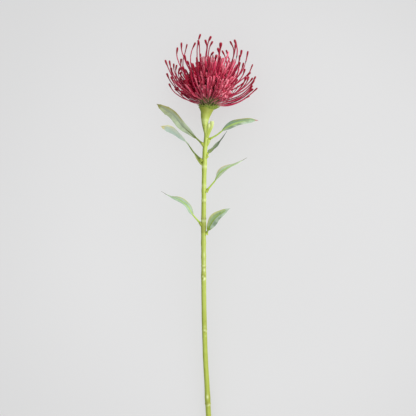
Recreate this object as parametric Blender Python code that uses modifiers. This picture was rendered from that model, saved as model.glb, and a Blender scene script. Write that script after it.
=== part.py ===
"""A cut pincushion protea stem, lying on its side.

The flower head rests on its lower styles and the stem slopes down from it to its cut end.
The model is drawn in the stem's own directions and then laid on the table by on_table():
across is to the right, along runs up the stem to the flower, and above points away from the table.
"""

import math
import random

import bmesh
import bpy
import numpy as np
from mathutils import Matrix, Vector

MM = 0.001

# How the stem lies.
CUT_ALONG = -224.4 * MM
NECK_TOP_ALONG = 142.8 * MM
HEAD_ALONG = 144.6 * MM
HEAD_HEIGHT = 41.8 * MM
CUT_HEIGHT = 2.9 * MM
TILT = math.asin((HEAD_HEIGHT - CUT_HEIGHT) / (HEAD_ALONG - CUT_ALONG))
BOX_CENTRE_ACROSS = 0.1 * MM
BOX_CENTRE_ALONG = -0.9 * MM

# The stem's centre line, as across at along, and its thickness.
STEM_LINE = [
    (-224.4, 3.3), (-190, 1.2), (-156, -0.5), (-134, -1.8), (-103, -2.9), (-68, -3.7), (-26, -4.0),
    (6, -4.2), (36, -3.9), (64, -3.5), (84, -3.0), (99, -2.4), (108, -1.3), (114.5, -0.9), (121, -1.9),
    (126, -2.5), (131, -2.2), (135.5, -1.4), (138.8, -0.5),
]
STEM_FOOT_RADIUS = 2.9 * MM
STEM_RADIUS = 2.45 * MM
NECK_START = 116.0 * MM
NECK_SWELL = 1.9 * MM
NECK_FLARE = 4.2 * MM
NECK_FLARE_POWER = 5
NECK_END = (2.8 * MM, 1.8 * MM)
NECK_ASIDE = 1.1 * MM
# Its cross-sections: the gaps between them, the closest two may stand, and their places at a ring and at a
# joint, in half lengths of it from its middle.
STATION_GAP = 13.0 * MM
NECK_STATION_GAP = 2.7 * MM
CLOSEST_STATIONS = 0.6 * MM
RING_STATIONS = (-2.2, -0.6, 0.6, 2.2)
JOINT_STATIONS = (-0.8, 0.8)
# Rings left by old leaves: where along, how proud and how long each is.
RINGS = [(-181.5, 0.42, 1.0), (-100.1, 0.30, 0.8), (-30.3, 0.32, 0.8), (22.0, 0.30, 0.8), (41.8, 0.35, 0.8)]
# Longer swellings at the leaf joints.
JOINTS = [(-176, 0.30, 5.0), (-40.7, 0.28, 4.0), (-19.8, 0.25, 2.5), (-5.5, 0.22, 3.0), (13.2, 0.30, 7.0),
          (52.5, 0.25, 3.0), (79.2, 0.30, 6.0)]

# The cut side shoot beside the neck, as points across, along, above with a radius, the nub on it, a swelling
# under leaf 3, a scale beside leaf 2 and a bud beside leaf 4.
SIDE_SHOOT = [(-0.3, 111.5, 0.8, 1.9), (0.9, 114.8, 1.1, 1.9), (2.7, 118.9, 1.6, 1.95),
              (4.7, 123.2, 2.0, 2.0), (5.5, 128.9, 2.2, 1.95)]
SIDE_NUB = [(0.5, 117.3, 2.1, 1.4), (1.5, 122.3, 2.8, 1.55), (2.2, 126.8, 3.4, 1.3)]
SIDE_SWELL = [(-1.0, 101.5, 0.3, 1.3), (1.2, 105.5, 0.6, 2.0), (2.2, 108.3, 0.7, 1.7)]
SIDE_SCALE = [(-4.6, 78.5, -1.5, 1.4), (-7.2, 83.0, -3.2, 1.7), (-9.6, 87.0, -4.2, 1.4),
              (-12.3, 90.8, -4.8, 0.6)]
SIDE_BUD = [(-1.9, 88.2, 0.9, 1.4), (0.2, 89.6, 1.2, 1.2), (1.5, 90.8, 1.3, 0.7)]
SIDE_GROWTHS = dict(side_shoot=SIDE_SHOOT, side_nub=SIDE_NUB, side_swell=SIDE_SWELL,
                    side_scale=SIDE_SCALE, side_bud=SIDE_BUD)

# Leaves. Each spine is points across, along, above, from the stalk's foot to the tip. Stalk is the share of
# its length before the blade, widest the share of the blade where it is widest, point how sharp its ends
# are, straight whether its tip's edges run straight, and foot how far its cushion reaches back into the stem.
# Roll turns its face from off the table to up the stem, at the foot and at the tip.
LEAVES = {
    "leaf_1": dict(spine=[(-6.8, 105.5, 0.8), (-18.0, 115.1, 5.0), (-26.1, 121.8, 7.5), (-38.3, 136.2, 9.5),
                          (-46.5, 142.0, 9.0), (-55.4, 147.8, 7.0)],
                   width=10.6, stalk=0.12, widest=0.56, point=1.3, roll=(-36, -28), foot=4.6, straight=True,
                   teeth=True),
    "leaf_2": dict(spine=[(-8.2, 88.0, -0.8), (-15.0, 94.6, -2.5), (-22.2, 104.6, -4.5),
                          (-30.3, 113.1, -6.5), (-41.3, 120.7, -8.0), (-51.5, 123.6, -9.0)],
                   width=9.3, stalk=0.40, widest=0.60, point=1.5, roll=(-46, -40), foot=7.5, straight=True,
                   teeth=True),
    "leaf_3": dict(spine=[(3.9, 110.3, 0.8), (9.1, 113.1, 2.2), (20.4, 121.2, 5.0), (31.6, 125.9, 7.0),
                          (42.2, 128.5, 7.2), (55.8, 129.8, 5.0)],
                   width=10.1, stalk=0.25, widest=0.42, point=1.6, roll=(50, 56), foot=4.2, straight=False,
                   teeth=False),
    "leaf_4": dict(spine=[(0.9, 94.0, -2.6), (5.8, 98.2, -7.0), (10.3, 102.4, -12.0), (15.3, 107.8, -17.5),
                          (22.4, 118.7, -24.0)],
                   width=7.2, stalk=0.02, widest=0.26, point=2.0, roll=(42, 84), foot=4.2, straight=False,
                   teeth=False),
    "leaf_5": dict(spine=[(1.2, 54.7, 0.8), (8.5, 63.5, 3.2), (14.1, 71.6, 6.0), (22.8, 78.2, 8.5),
                          (32.4, 83.2, 9.5), (43.2, 89.1, 9.0)],
                   width=10.2, stalk=0.17, widest=0.36, point=3.0, roll=(48, 58), foot=4.0, straight=False,
                   teeth=False),
    "leaf_6": dict(spine=[(-8.7, 18.0, 0.6), (-16.9, 26.8, 2.6), (-22.3, 35.2, 4.2), (-31.9, 42.5, 4.6),
                          (-40.5, 46.1, 3.4), (-50.7, 51.9, 1.0)],
                   width=9.7, stalk=0.17, widest=0.31, point=2.8, roll=(50, 60), foot=4.2, straight=False,
                   teeth=False),
    "leaf_7": dict(spine=[(0.4, 8.4, 1.4), (4.0, 15.3, 5.0), (8.6, 22.8, 9.5), (14.8, 28.0, 13.0),
                          (24.8, 33.4, 16.0)],
                   width=11.2, stalk=0.03, widest=0.44, point=2.0, roll=(8, 30), foot=4.2, straight=False,
                   teeth=False),
}
LEAF_THICKNESS = 0.75 * MM
LEAF_ROWS = 13
LEAF_COLUMNS = 4
LEAF_FOLD = math.radians(14)
LEAF_WAVE = 0.7 * MM
LEAF_WAVES = 2.3
FULL_WAVE_HALF = 3.0 * MM
BLADE_EARLY = 0.02
BLADE_FIRST = 0.03
BLADE_START_WIDTH = 0.8 * MM
BLADE_TIP_WIDTH = 0.7 * MM
TOOTH_ROWS = (10, 12)
TOOTH_DEPTH = 0.6 * MM
STALK_RADIUS = 0.95 * MM
RIB_TIP_RADIUS = 0.42 * MM
RIB_END = 0.90
RIB_STATIONS = 9
DIRECTION_STEP = 0.02
CUSHION_RADII = (2.1 * MM, 1.5 * MM)
FIT_GAP = 0.3 * MM

# The flower head's own place and lean, and the gaps between its pieces.
HEAD_ACROSS = 1.2 * MM
HEAD_LEAN = math.radians(4)
CUP_TURNED = [(0.0, 1.2), (8.7, 1.2), (9.4, 0.5), (8.0, -1.5), (0.0, -1.5)]
CORE_TURNED = [(0.0, 48.5), (8.5, 47.8), (15.0, 44.5), (19.4, 38.0), (21.2, 29.0), (20.2, 19.5),
               (16.6, 11.0), (11.6, 5.2), (7.8, 1.5), (0.0, 1.5)]
TURNED_STEPS = 14

# Bracts of the involucre: two rows. A bract's half width follows a sine, from BRACT_SINE[0] of a half turn
# over another BRACT_SINE[1] of it, and its edges hang lower than its middle.
BRACTS_A_ROW = 10
BRACT_ROWS = [dict(start=(7.0, -1.0), rise=24, length=5.6, width=4.8, turn=0.0),
              dict(start=(7.3, 0.0), rise=14, length=6.4, width=4.6, turn=0.5)]
BRACT_THICKNESS = 0.8 * MM
BRACT_SINE = (0.35, 0.62)
BRACT_TIP_WIDTH = 0.16
BRACT_EDGE_DROP = 0.5 * MM
BRACT_TURN_SPREAD = 0.12
BRACT_RISE_SPREAD = 6
BRACT_LENGTH_SPREAD = (0.88, 1.1)

# Florets, in a spiral up the receptacle. Angles are from the head's axis. Share runs from 0 for the lowest
# floret to TOP_SHARE for the highest.
GOLDEN_ANGLE = math.pi * (3 - math.sqrt(5))
SPIRAL_COUNT = 168
TOP_SHARE = 0.90
STYLE_RADIUS = 0.62 * MM
ROD_SIDES = 4
ROOT_LOW = 3.0 * MM
ROOT_HIGH = 25.0 * MM
ROOT_RADIUS = 6.8 * MM
LOWEST_LEAVING = math.radians(83)
TOP_LEAVING = math.radians(12)
LOWEST_BEND = math.radians(48)
TOP_BEND = math.radians(8)
MIDDLE_BEND = math.radians(100)
LOWEST_LENGTH = 49.2 * MM
LENGTH_GROWTH = 12.0 * MM
LENGTH_PEAK = 1.3
LONGER_RIGHT = 0.03
LONGER_RIGHT_FADE = 1.6
BEND_DELAY = 1.9
BEND_DELAY_FALL = 0.7
CROWDED_LOW = 1.2
BEND_SPREAD = 9
LENGTH_SPREAD = (0.93, 1.08)
TURN_SPREAD = 0.10
PATH_STEPS = 40
STYLE_STATIONS = (0.0, 0.30, 0.58, 0.84, 0.92, 1.0)
STYLE_THICKNESS = (1.0, 1.0, 0.95, 0.9, 1.9, 1.0)
BAND_EVERY = 2
BAND_LOWEST = 0.08
BAND_STATIONS = (0.03, 0.22, 0.38)
BAND_RADIUS = 1.3 * MM
BAND_THICKNESS = (1.0, 1.15, 1.1, 0.95, 0.5)
# A band's curled end: how far two more points lie ahead of and away from its last one.
BAND_CURL = ((2.0 * MM, 2.7 * MM), (-2.5 * MM, 1.6 * MM))

# Which florets of the spiral show an open style: the lowest, but not far to the left, where the listed ones
# below stand, and higher ones only before and behind the head's middle.
LOW_SHARE = 0.30
FARTHEST_LEFT = -0.55
HIGH_SHARE = 0.46
HIGH_ASIDE = 0.45

# The styles that stand clear of the others. Each row has three places as across, along: halfway, nearer its
# end, and its end. Then how far its end leans off the table, from -1 to 1, and how thick its end is. Places
# are as they look from SEEN_FROM over the stem, and the ends stand on one dome.
CLEAR_STYLES = [
    ((-30.5, 190.9), (-33.7, 201.3), (-32.9, 209.8), -0.5, 1),
    ((-25, 196.9), (-28.3, 206.8), (-28.5, 214.9), 0.3, 1),
    ((-27.2, 193.6), (-24.1, 205.7), (-22.2, 213.4), -0.2, 0.8),
    ((-19.5, 184.8), (-22.8, 193.6), (-25.5, 201.9), 0.75, 1.15),
    ((-27.8, 182.6), (-29.2, 191.4), (-28.8, 197.7), 0.6, 1),
    ((-18.6, 194.7), (-17.5, 205.2), (-13.1, 214.9), 0.35, 0.95),
    ((-11.4, 203.5), (-10.5, 214.5), (-7.4, 225.2), 0, 1),
    ((-8.2, 199.1), (-8.5, 209), (-10, 217.5), 0.45, 1.15),
    ((-1.7, 202.4), (-0.5, 210.7), (-2.4, 218), 0.5, 1.15),
    ((-0.5, 205.7), (0.9, 214.5), (4.2, 221.7), -0.2, 1.15),
    ((1.2, 202.4), (2.7, 210.1), (6, 216.4), 0.3, 1.1),
    ((3, 195.8), (4.5, 202.2), (6.9, 204.8), 0.95, 1),
    ((12.9, 198), (14.1, 206.8), (15, 214.9), 0.7, 1.45),
    ((13.5, 194.7), (13.3, 202.4), (11.8, 209), 0.85, 1.25),
    ((21.7, 191.4), (20.1, 199.1), (16.3, 206.3), 0.6, 1),
    ((25, 192.5), (23.4, 199.1), (21, 206.8), -0.6, 1.05),
    ((28.7, 198), (29.1, 207.9), (25.2, 216.4), -0.3, 0.95),
    ((31.6, 195.8), (33.2, 206.8), (30.1, 218), 0.1, 1.15),
    ((27.2, 194.7), (30, 203.5), (31.3, 213.4), 0.5, 1.05),
    ((34.2, 192), (36.6, 199.7), (38, 207.1), 0, 1.1),
    ((32.7, 187), (34.9, 194.7), (36.2, 201.9), 0.55, 1),
    ((40.2, 187), (43.2, 196.9), (45, 205.9), 0.15, 0.95),
    ((33.3, 177.1), (37.7, 185.4), (40.3, 193.3), 0.6, 1.05),
    ((43.7, 176), (47.4, 184.8), (50.2, 191.6), -0.2, 0.8),
    ((33.3, 171.1), (41.5, 177.3), (47.8, 182.9), 0.35, 1.15),
    ((44.3, 166.1), (50.7, 173.2), (53.5, 178.4), -0.1, 0.95),
    ((38.8, 165), (45.9, 171.1), (50.4, 176.8), 0.3, 1),
    ((37.7, 164.5), (43.4, 171.6), (46, 177.9), -0.5, 1),
    ((34.4, 162.8), (40.1, 170.5), (42.8, 177.7), 0.6, 1.1),
    ((39.9, 159.5), (47.6, 167.2), (52, 174.4), 0, 0.95),
    ((36.6, 155.1), (44.8, 161.7), (50.1, 168.3), 0.3, 1.05),
    ((28.9, 158.4), (35.5, 164.5), (40.2, 171.3), 0.7, 1),
    ((32.2, 149.1), (45.4, 156.4), (55.2, 165.2), 0, 1.1),
    ((28.9, 152.4), (39.9, 157.3), (49.2, 165.2), -0.4, 1),
    ((-36.6, 174.9), (-42.6, 186.5), (-46.5, 196.4), 0, 1),
    ((-34.9, 176), (-40.4, 188.1), (-41.9, 195.8), -0.3, 0.95),
    ((-31.6, 168.3), (-38.2, 179.3), (-40.1, 188.1), 0.35, 1.1),
    ((-32.2, 174.9), (-36.7, 184.8), (-37.1, 192.5), 0.45, 0.95),
    ((-31.1, 173.8), (-34.9, 183.7), (-33.8, 190.9), -0.5, 1),
    ((-33.8, 164.5), (-41.7, 174.6), (-44.8, 181.9), 0, 1),
    ((-28.3, 154.8), (-37.9, 162.5), (-42.4, 170.5), 0.1, 0.95),
    ((-27.2, 159.5), (-35.5, 168.3), (-40.1, 178.2), 0.4, 1.1),
    ((-25, 161.2), (-31.6, 169.4), (-36, 178.8), 0.6, 1.05),
]
SEEN_FROM = (0.8 * MM, 33.6 * MM, 1550 * MM)
DOME_CENTRE = (4.7 * MM, 173.0 * MM)
DOME_RADIUS = 51.5 * MM
CLEAR_ROOT = 0.75
CLEAR_RISE = 1.5

# Unopened florets in the middle of the head.
BUD_COUNT = 22
BUD_RADIUS = 1.5 * MM
BUD_SPREAD = math.radians(30)
BUD_STRAIGHTENS = 0.45
BUD_LENGTH = 33.0 * MM
BUD_LENGTH_SPREAD = (0.90, 1.08)
BUD_ROOT = 22.0 * MM
BUD_ROOT_RADIUS = 1.5 * MM
BUD_STATIONS = (0.0, 0.45, 0.8, 0.93, 1.0)
BUD_THICKNESS = (0.8, 0.8, 1.1, 1.1, 0.6)

PRESS_SOFTNESS = 1.1 * MM
MERGE_DISTANCE = 0.001 * MM
SHARP_EDGE = math.radians(50)
SEED = 11


def on_table(across, along, above):
    """A point in the stem's directions, laid on the table: the part's own frame."""
    out = along - CUT_ALONG
    return Vector((
        across - BOX_CENTRE_ACROSS,
        CUT_ALONG + out * math.cos(TILT) - above * math.sin(TILT) - BOX_CENTRE_ALONG,
        CUT_HEIGHT + out * math.sin(TILT) + above * math.cos(TILT),
    ))


def on_table_mm(point):
    """The same, for a point listed in millimetres."""
    return on_table(*(value * MM for value in point[:3]))


UP_STEM = (on_table(0, 1, 0) - on_table(0, 0, 0)).normalized()
OFF_TABLE = (on_table(0, 0, 1) - on_table(0, 0, 0)).normalized()
RIGHT = Vector((1, 0, 0))
HEAD_AXIS = UP_STEM * math.cos(HEAD_LEAN) + RIGHT * math.sin(HEAD_LEAN)
HEAD_RIGHT = RIGHT * math.cos(HEAD_LEAN) - UP_STEM * math.sin(HEAD_LEAN)
HEAD_BASE = on_table(HEAD_ACROSS, HEAD_ALONG, 0)
HEAD_TURN = Matrix((HEAD_RIGHT, -OFF_TABLE, HEAD_AXIS)).transposed().to_4x4()
HEAD_MATRIX = Matrix.Translation(HEAD_BASE) @ HEAD_TURN


def clear_scene():
    """Removes whatever the scene holds."""
    for obj in list(bpy.data.objects):
        bpy.data.objects.remove(obj)


def material(name, colour, roughness):
    """A plain Principled material."""
    made = bpy.data.materials.new(name)
    made.use_nodes = True
    shader = made.node_tree.nodes["Principled BSDF"]
    shader.inputs["Base Color"].default_value = (*colour, 1.0)
    shader.inputs["Roughness"].default_value = roughness
    return made


def new_collection(name):
    """A collection in the scene."""
    made = bpy.data.collections.new(name)
    bpy.context.scene.collection.children.link(made)
    return made


def tube(name, points, radii, collection, resolution):
    """A capped curve through points, with a radius at each. Four sides and two more for each resolution."""
    curve = bpy.data.curves.new(name, "CURVE")
    curve.dimensions = "3D"
    curve.bevel_depth = MM
    curve.bevel_resolution = resolution
    curve.use_fill_caps = True
    spline = curve.splines.new("POLY")
    spline.points.add(len(points) - 1)
    for station, point, radius in zip(spline.points, points, radii):
        station.co = (*point, 1)
        station.radius = radius / MM
    obj = bpy.data.objects.new(name, curve)
    collection.objects.link(obj)
    return obj


def rod_profile():
    """The cross-section of a style's rod, one millimetre in radius."""
    curve = bpy.data.curves.new("rod_profile", "CURVE")
    curve.dimensions = "2D"
    spline = curve.splines.new("POLY")
    spline.points.add(ROD_SIDES - 1)
    for corner, station in enumerate(spline.points):
        angle = math.tau * corner / ROD_SIDES
        station.co = (MM * math.cos(angle), MM * math.sin(angle), 0, 1)
    spline.use_cyclic_u = True
    obj = bpy.data.objects.new("rod_profile", curve)
    obj.hide_render = True
    obj.display_type = "WIRE"
    bpy.context.scene.collection.objects.link(obj)
    return obj


def meshes_of(curves, collection):
    """Each curve as a closed mesh object of the same name. The curves are removed."""
    graph = bpy.context.evaluated_depsgraph_get()
    made = []
    for obj in curves:
        mesh = bpy.data.meshes.new_from_object(obj.evaluated_get(graph))
        shape = bmesh.new()
        shape.from_mesh(mesh)
        bmesh.ops.remove_doubles(shape, verts=shape.verts, dist=MERGE_DISTANCE)
        bmesh.ops.recalc_face_normals(shape, faces=shape.faces)
        shape.to_mesh(mesh)
        shape.free()
        made.append((obj.name, mesh, obj.matrix_world.copy()))
    for obj in curves:
        bpy.data.objects.remove(obj)
    objects = []
    for name, mesh, place in made:
        obj = bpy.data.objects.new(name, mesh)
        obj.matrix_world = place
        collection.objects.link(obj)
        objects.append(obj)
    return objects


def apply_modifiers(obj):
    """Replaces the object's mesh by what its modifiers make of it."""
    graph = bpy.context.evaluated_depsgraph_get()
    mesh = bpy.data.meshes.new_from_object(obj.evaluated_get(graph))
    obj.modifiers.clear()
    obj.data = mesh


def fuse(obj, pieces, solver):
    """Joins a collection's objects to obj in one Boolean union, and removes them."""
    union = obj.modifiers.new("union", "BOOLEAN")
    union.operation = "UNION"
    union.operand_type = "COLLECTION"
    union.collection = pieces
    union.solver = solver
    apply_modifiers(obj)
    for piece in list(pieces.objects):
        bpy.data.objects.remove(piece)
    bpy.data.collections.remove(pieces)


def finish(obj, name, finish_material):
    """Names the object, gives it its material and shades it smooth, with the sharp edges kept."""
    obj.name = name
    obj.data.name = name
    obj.data.materials.clear()
    obj.data.materials.append(finish_material)
    obj.data.shade_smooth()
    obj.data.set_sharp_from_angle(angle=SHARP_EDGE)


def turned(name, profile, collection):
    """A solid of revolution about its own Z axis. The profile runs down its side, as (radius, height)."""
    mesh = bpy.data.meshes.new(name)
    mesh.from_pydata([(r, 0, h) for r, h in profile], [(i, i + 1) for i in range(len(profile) - 1)], [])
    obj = bpy.data.objects.new(name, mesh)
    collection.objects.link(obj)
    screw = obj.modifiers.new("turn", "SCREW")
    screw.axis = "Z"
    screw.steps = TURNED_STEPS
    screw.render_steps = TURNED_STEPS
    screw.use_merge_vertices = True
    screw.merge_threshold = MERGE_DISTANCE
    screw.use_normal_calculate = True
    return obj


def smooth_at(table, place):
    """The value at a place in a table of (place, value), on a curve with smooth slopes through its rows."""
    places = [row[0] for row in table]
    values = [row[1] for row in table]
    slopes = np.gradient(values, places)
    i = int(np.clip(np.searchsorted(places, place) - 1, 0, len(places) - 2))
    span = places[i + 1] - places[i]
    t = (place - places[i]) / span
    return float(
        values[i] * (1 + 2 * t) * (1 - t) ** 2 + values[i + 1] * t * t * (3 - 2 * t)
        + span * (slopes[i] * t * (1 - t) ** 2 - slopes[i + 1] * t * t * (1 - t))
    )


def stem_centre(along):
    """The stem's centre line at a place along it, in metres, in the stem's directions."""
    return smooth_at(STEM_LINE, along / MM) * MM, along, 0.0


def stem_radius(along):
    """The stem's radius: even, with its rings and joints, and flaring up the neck."""
    rise = (along - CUT_ALONG) / (NECK_START - CUT_ALONG)
    radius = STEM_FOOT_RADIUS + (STEM_RADIUS - STEM_FOOT_RADIUS) * min(1.0, rise)
    for place, proud, half_length in RINGS + JOINTS:
        radius += proud * MM * math.exp(-(((along / MM - place) / half_length) ** 2))
    share = max(0.0, (along - NECK_START) / (NECK_TOP_ALONG - NECK_START))
    return radius + NECK_SWELL * share + NECK_FLARE * share ** NECK_FLARE_POWER


def stem_stations():
    """Places along the stem for its cross-sections: even ones, and closer ones on its neck and rings."""
    last = STEM_LINE[-1][0] * MM
    stations = list(np.arange(CUT_ALONG, NECK_START - NECK_STATION_GAP, STATION_GAP))
    stations += list(np.linspace(NECK_START, last, 1 + round((last - NECK_START) / NECK_STATION_GAP)))
    for place, _, half_length in RINGS:
        stations += [(place + shift * half_length) * MM for shift in RING_STATIONS]
    for place, _, half_length in JOINTS:
        stations += [(place + shift * half_length) * MM for shift in JOINT_STATIONS]
    stations.sort()
    kept = [stations[0]]
    for place in stations[1:]:
        if place - kept[-1] > CLOSEST_STATIONS:
            kept.append(place)
    return kept


def spine_place(spine, t):
    """A point on a leaf's spine, at a share of its length."""
    steps = [0.0]
    for one, other in zip(spine, spine[1:]):
        steps.append(steps[-1] + (other - one).length)
    tables = [[(step / steps[-1], point[axis]) for step, point in zip(steps, spine)] for axis in range(3)]
    return Vector([smooth_at(table, t) for table in tables])


def leaf_frame(spine, roll, t):
    """(place, sideways, facing) on a leaf's spine. Roll turns its face from off the table to up the stem."""
    after = spine_place(spine, min(1, t + DIRECTION_STEP))
    before = spine_place(spine, max(0, t - DIRECTION_STEP))
    ahead = (after - before).normalized()
    off = (OFF_TABLE - ahead * ahead.dot(OFF_TABLE)).normalized()
    up = off.cross(ahead)
    if up.dot(UP_STEM) < 0:
        up = -up
    angle = math.radians(roll[0] + (roll[1] - roll[0]) * t)
    facing = off * math.cos(angle) + up * math.sin(angle)
    return spine_place(spine, t), facing.cross(ahead), facing


def blade_half_width(leaf, t):
    """Half the blade's width: a lens, sharper as leaf["point"] grows, or a parabola up to a straight tip."""
    share = np.clip((t - leaf["stalk"]) / (1 - leaf["stalk"]), 1e-4, 1 - 1e-4)
    b = leaf["widest"]
    if leaf["straight"] and share > b:
        lens = 1 - ((share - b) / (1 - b)) ** 2
    else:
        lens = (share / b) ** (leaf["point"] * b) * ((1 - share) / (1 - b)) ** (leaf["point"] * (1 - b))
    end = BLADE_START_WIDTH + (BLADE_TIP_WIDTH - BLADE_START_WIDTH) * share
    return max(leaf["width"] * MM * lens, end) / 2


def make_leaf(name, leaf, collection, green):
    """A folded, waved blade with thickness, fused to the tube of its stalk and midrib."""
    spine = [on_table_mm(point) for point in leaf["spine"]]
    shape = bmesh.new()
    bmesh.ops.create_grid(shape, x_segments=LEAF_ROWS, y_segments=LEAF_COLUMNS, size=1)
    first = max(leaf["stalk"] - BLADE_EARLY, BLADE_FIRST)
    for vertex in shape.verts:
        row = (vertex.co.x + 1) / 2
        side = vertex.co.y
        t = first + (1 - first) * row
        place, sideways, facing = leaf_frame(spine, leaf["roll"], t)
        half = blade_half_width(leaf, t)
        if leaf["teeth"] and round(row * LEAF_ROWS) in TOOTH_ROWS:
            half += TOOTH_DEPTH
        wave = LEAF_WAVE * math.sin(math.tau * LEAF_WAVES * t + side) * side * side
        wave *= min(1, half / FULL_WAVE_HALF)
        lift = abs(side) * half * math.sin(LEAF_FOLD) + wave
        vertex.co = place + sideways * side * half * math.cos(LEAF_FOLD) + facing * lift
    bmesh.ops.triangulate(shape, faces=shape.faces)
    mesh = bpy.data.meshes.new(name)
    shape.to_mesh(mesh)
    shape.free()
    blade = bpy.data.objects.new(name, mesh)
    collection.objects.link(blade)
    thicken = blade.modifiers.new("thickness", "SOLIDIFY")
    thicken.thickness = LEAF_THICKNESS
    thicken.offset = 0
    apply_modifiers(blade)

    rib_places = [RIB_END * i / (RIB_STATIONS - 1) for i in range(RIB_STATIONS)]
    rib_points = [spine_place(spine, t) for t in rib_places]
    rib_radii = [STALK_RADIUS + (RIB_TIP_RADIUS - STALK_RADIUS) * t / RIB_END for t in rib_places]
    ribs = new_collection(name + "_rib")
    curve = tube(name + "_rib", rib_points, rib_radii, ribs, resolution=1)
    meshes_of([curve], ribs)
    fuse(blade, ribs, "EXACT")
    finish(blade, name, green)


def cushion_curve(name, leaf, collection):
    """The short cushion on the stem that a leaf's stalk stands on."""
    spine = [on_table_mm(point) for point in leaf["spine"]]
    ahead = (spine_place(spine, 2 * DIRECTION_STEP) - spine[0]).normalized()
    foot = leaf["foot"] * MM
    points = [spine[0] - ahead * back for back in (foot, foot / 2, FIT_GAP)]
    radii = [CUSHION_RADII[0], sum(CUSHION_RADII) / 2, CUSHION_RADII[1]]
    return tube(name + "_cushion", points, radii, collection, resolution=2)


def make_stem(collection, green):
    """The stem and its neck, square to the head, fused with its leaf cushions and cut side shoot."""
    stations = stem_stations()
    points = [on_table(*stem_centre(along)) for along in stations]
    points += [HEAD_BASE - HEAD_AXIS * below - HEAD_RIGHT * NECK_ASIDE for below in NECK_END]
    radii = [stem_radius(along) for along in stations]
    radii += [stem_radius(HEAD_ALONG - below) for below in NECK_END]
    stem = meshes_of([tube("stem", points, radii, collection, resolution=3)], collection)[0]

    grown = new_collection("grown_on_stem")
    curves = [cushion_curve(name, leaf, grown) for name, leaf in LEAVES.items()]
    for name, shoot in SIDE_GROWTHS.items():
        radii = [point[3] * MM for point in shoot]
        curves.append(tube(name, [on_table_mm(point) for point in shoot], radii, grown, resolution=2))
    meshes_of(curves, grown)
    fuse(stem, grown, "EXACT")
    finish(stem, "stem", green)


def head_point(radius, turn, height):
    """A point of the flower head, from its radius, the angle round its axis and its height."""
    outward = HEAD_RIGHT * math.cos(turn) + OFF_TABLE * math.sin(turn)
    return HEAD_BASE + outward * radius + HEAD_AXIS * height


def pressed(point, radius):
    """The point, lifted smoothly where a rod of that radius would sink below the table."""
    depth = (point.z - radius) / PRESS_SOFTNESS
    lifted = depth if depth > 30 else math.log1p(math.exp(depth))
    return Vector((point.x, point.y, radius + PRESS_SOFTNESS * lifted))


def make_bract(name, row, turn, rise, length, collection):
    """One pointed bract, as a thickened kite-shaped sheet with a raised middle."""
    start = Vector((row["start"][0], row["start"][1])) * MM
    sideways = head_point(1, turn + math.pi / 2, 0) - HEAD_BASE
    shape = bmesh.new()
    bmesh.ops.create_grid(shape, x_segments=2, y_segments=2, size=1)
    for vertex in shape.verts:
        t = (vertex.co.x + 1) / 2
        side = vertex.co.y
        out = start.x + length * t * math.cos(rise)
        height = start.y + length * t * math.sin(rise) - BRACT_EDGE_DROP * abs(side)
        wide = math.sin(math.pi * (BRACT_SINE[0] + BRACT_SINE[1] * t))
        half = row["width"] / 2 * MM * max(BRACT_TIP_WIDTH, wide)
        vertex.co = head_point(out, turn, height) + sideways * side * half
    bmesh.ops.triangulate(shape, faces=shape.faces)
    mesh = bpy.data.meshes.new(name)
    shape.to_mesh(mesh)
    shape.free()
    bract = bpy.data.objects.new(name, mesh)
    collection.objects.link(bract)
    thicken = bract.modifiers.new("thickness", "SOLIDIFY")
    thicken.thickness = BRACT_THICKNESS
    thicken.offset = 0
    return bract


def make_involucre(collection, green):
    """The cup under the flower head, with two rows of bracts fused to it."""
    cup = turned("involucre", [(r * MM, h * MM) for r, h in CUP_TURNED], collection)
    cup.matrix_world = HEAD_MATRIX
    apply_modifiers(cup)
    cup.data.transform(cup.matrix_world)
    cup.matrix_world = Matrix.Identity(4)
    bracts = new_collection("bracts")
    draw = random.Random(SEED + 2)
    for number, row in enumerate(BRACT_ROWS):
        for place in range(BRACTS_A_ROW):
            shift = draw.uniform(-BRACT_TURN_SPREAD, BRACT_TURN_SPREAD)
            turn = math.tau * (place + row["turn"] + shift) / BRACTS_A_ROW
            rise = math.radians(row["rise"] + draw.uniform(-BRACT_RISE_SPREAD, BRACT_RISE_SPREAD))
            length = row["length"] * MM * draw.uniform(*BRACT_LENGTH_SPREAD)
            apply_modifiers(make_bract(f"bract_{number}_{place}", row, turn, rise, length, bracts))
    fuse(cup, bracts, "EXACT")
    finish(cup, "involucre", green)


def floret_path(share, turn, jitter, fractions):
    """Points of one style from its root, as (radius, turn, height) about the head's axis, at each fraction.

    A style leaves at an angle from the axis that falls from the lowest row to the top, and bends inwards.
    """
    leaving = math.acos(math.cos(LOWEST_LEAVING) * (1 - share) + math.cos(TOP_LEAVING) * share)
    bend = LOWEST_BEND * (1 - share) + TOP_BEND * share + MIDDLE_BEND * share * (1 - share) + jitter[0]
    length = (LOWEST_LENGTH + LENGTH_GROWTH * share * (LENGTH_PEAK - share)) * jitter[1]
    length *= 1 + LONGER_RIGHT * math.cos(turn) * (1 - LONGER_RIGHT_FADE * share)
    radius = ROOT_RADIUS * math.sqrt(1 - share * share)
    height = ROOT_LOW + (ROOT_HIGH - ROOT_LOW) * share
    found = []
    for step in range(PATH_STEPS + 1):
        fraction = step / PATH_STEPS
        found.append((fraction, radius, height))
        angle = leaving - bend * fraction ** (BEND_DELAY - BEND_DELAY_FALL * share)
        radius += length / PATH_STEPS * math.sin(angle)
        height += length / PATH_STEPS * math.cos(angle)
    places = [row[0] for row in found]
    radii = np.interp(fractions, places, [row[1] for row in found])
    heights = np.interp(fractions, places, [row[2] for row in found])
    return [(r, turn + jitter[2] * f * f, h) for r, h, f in zip(radii, heights, fractions)]


def opens(share, turn):
    """Whether a floret of the spiral shows an open style."""
    if share < LOW_SHARE:
        return math.cos(turn) > FARTHEST_LEFT
    return share < HIGH_SHARE and abs(math.cos(turn)) < HIGH_ASIDE


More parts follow.
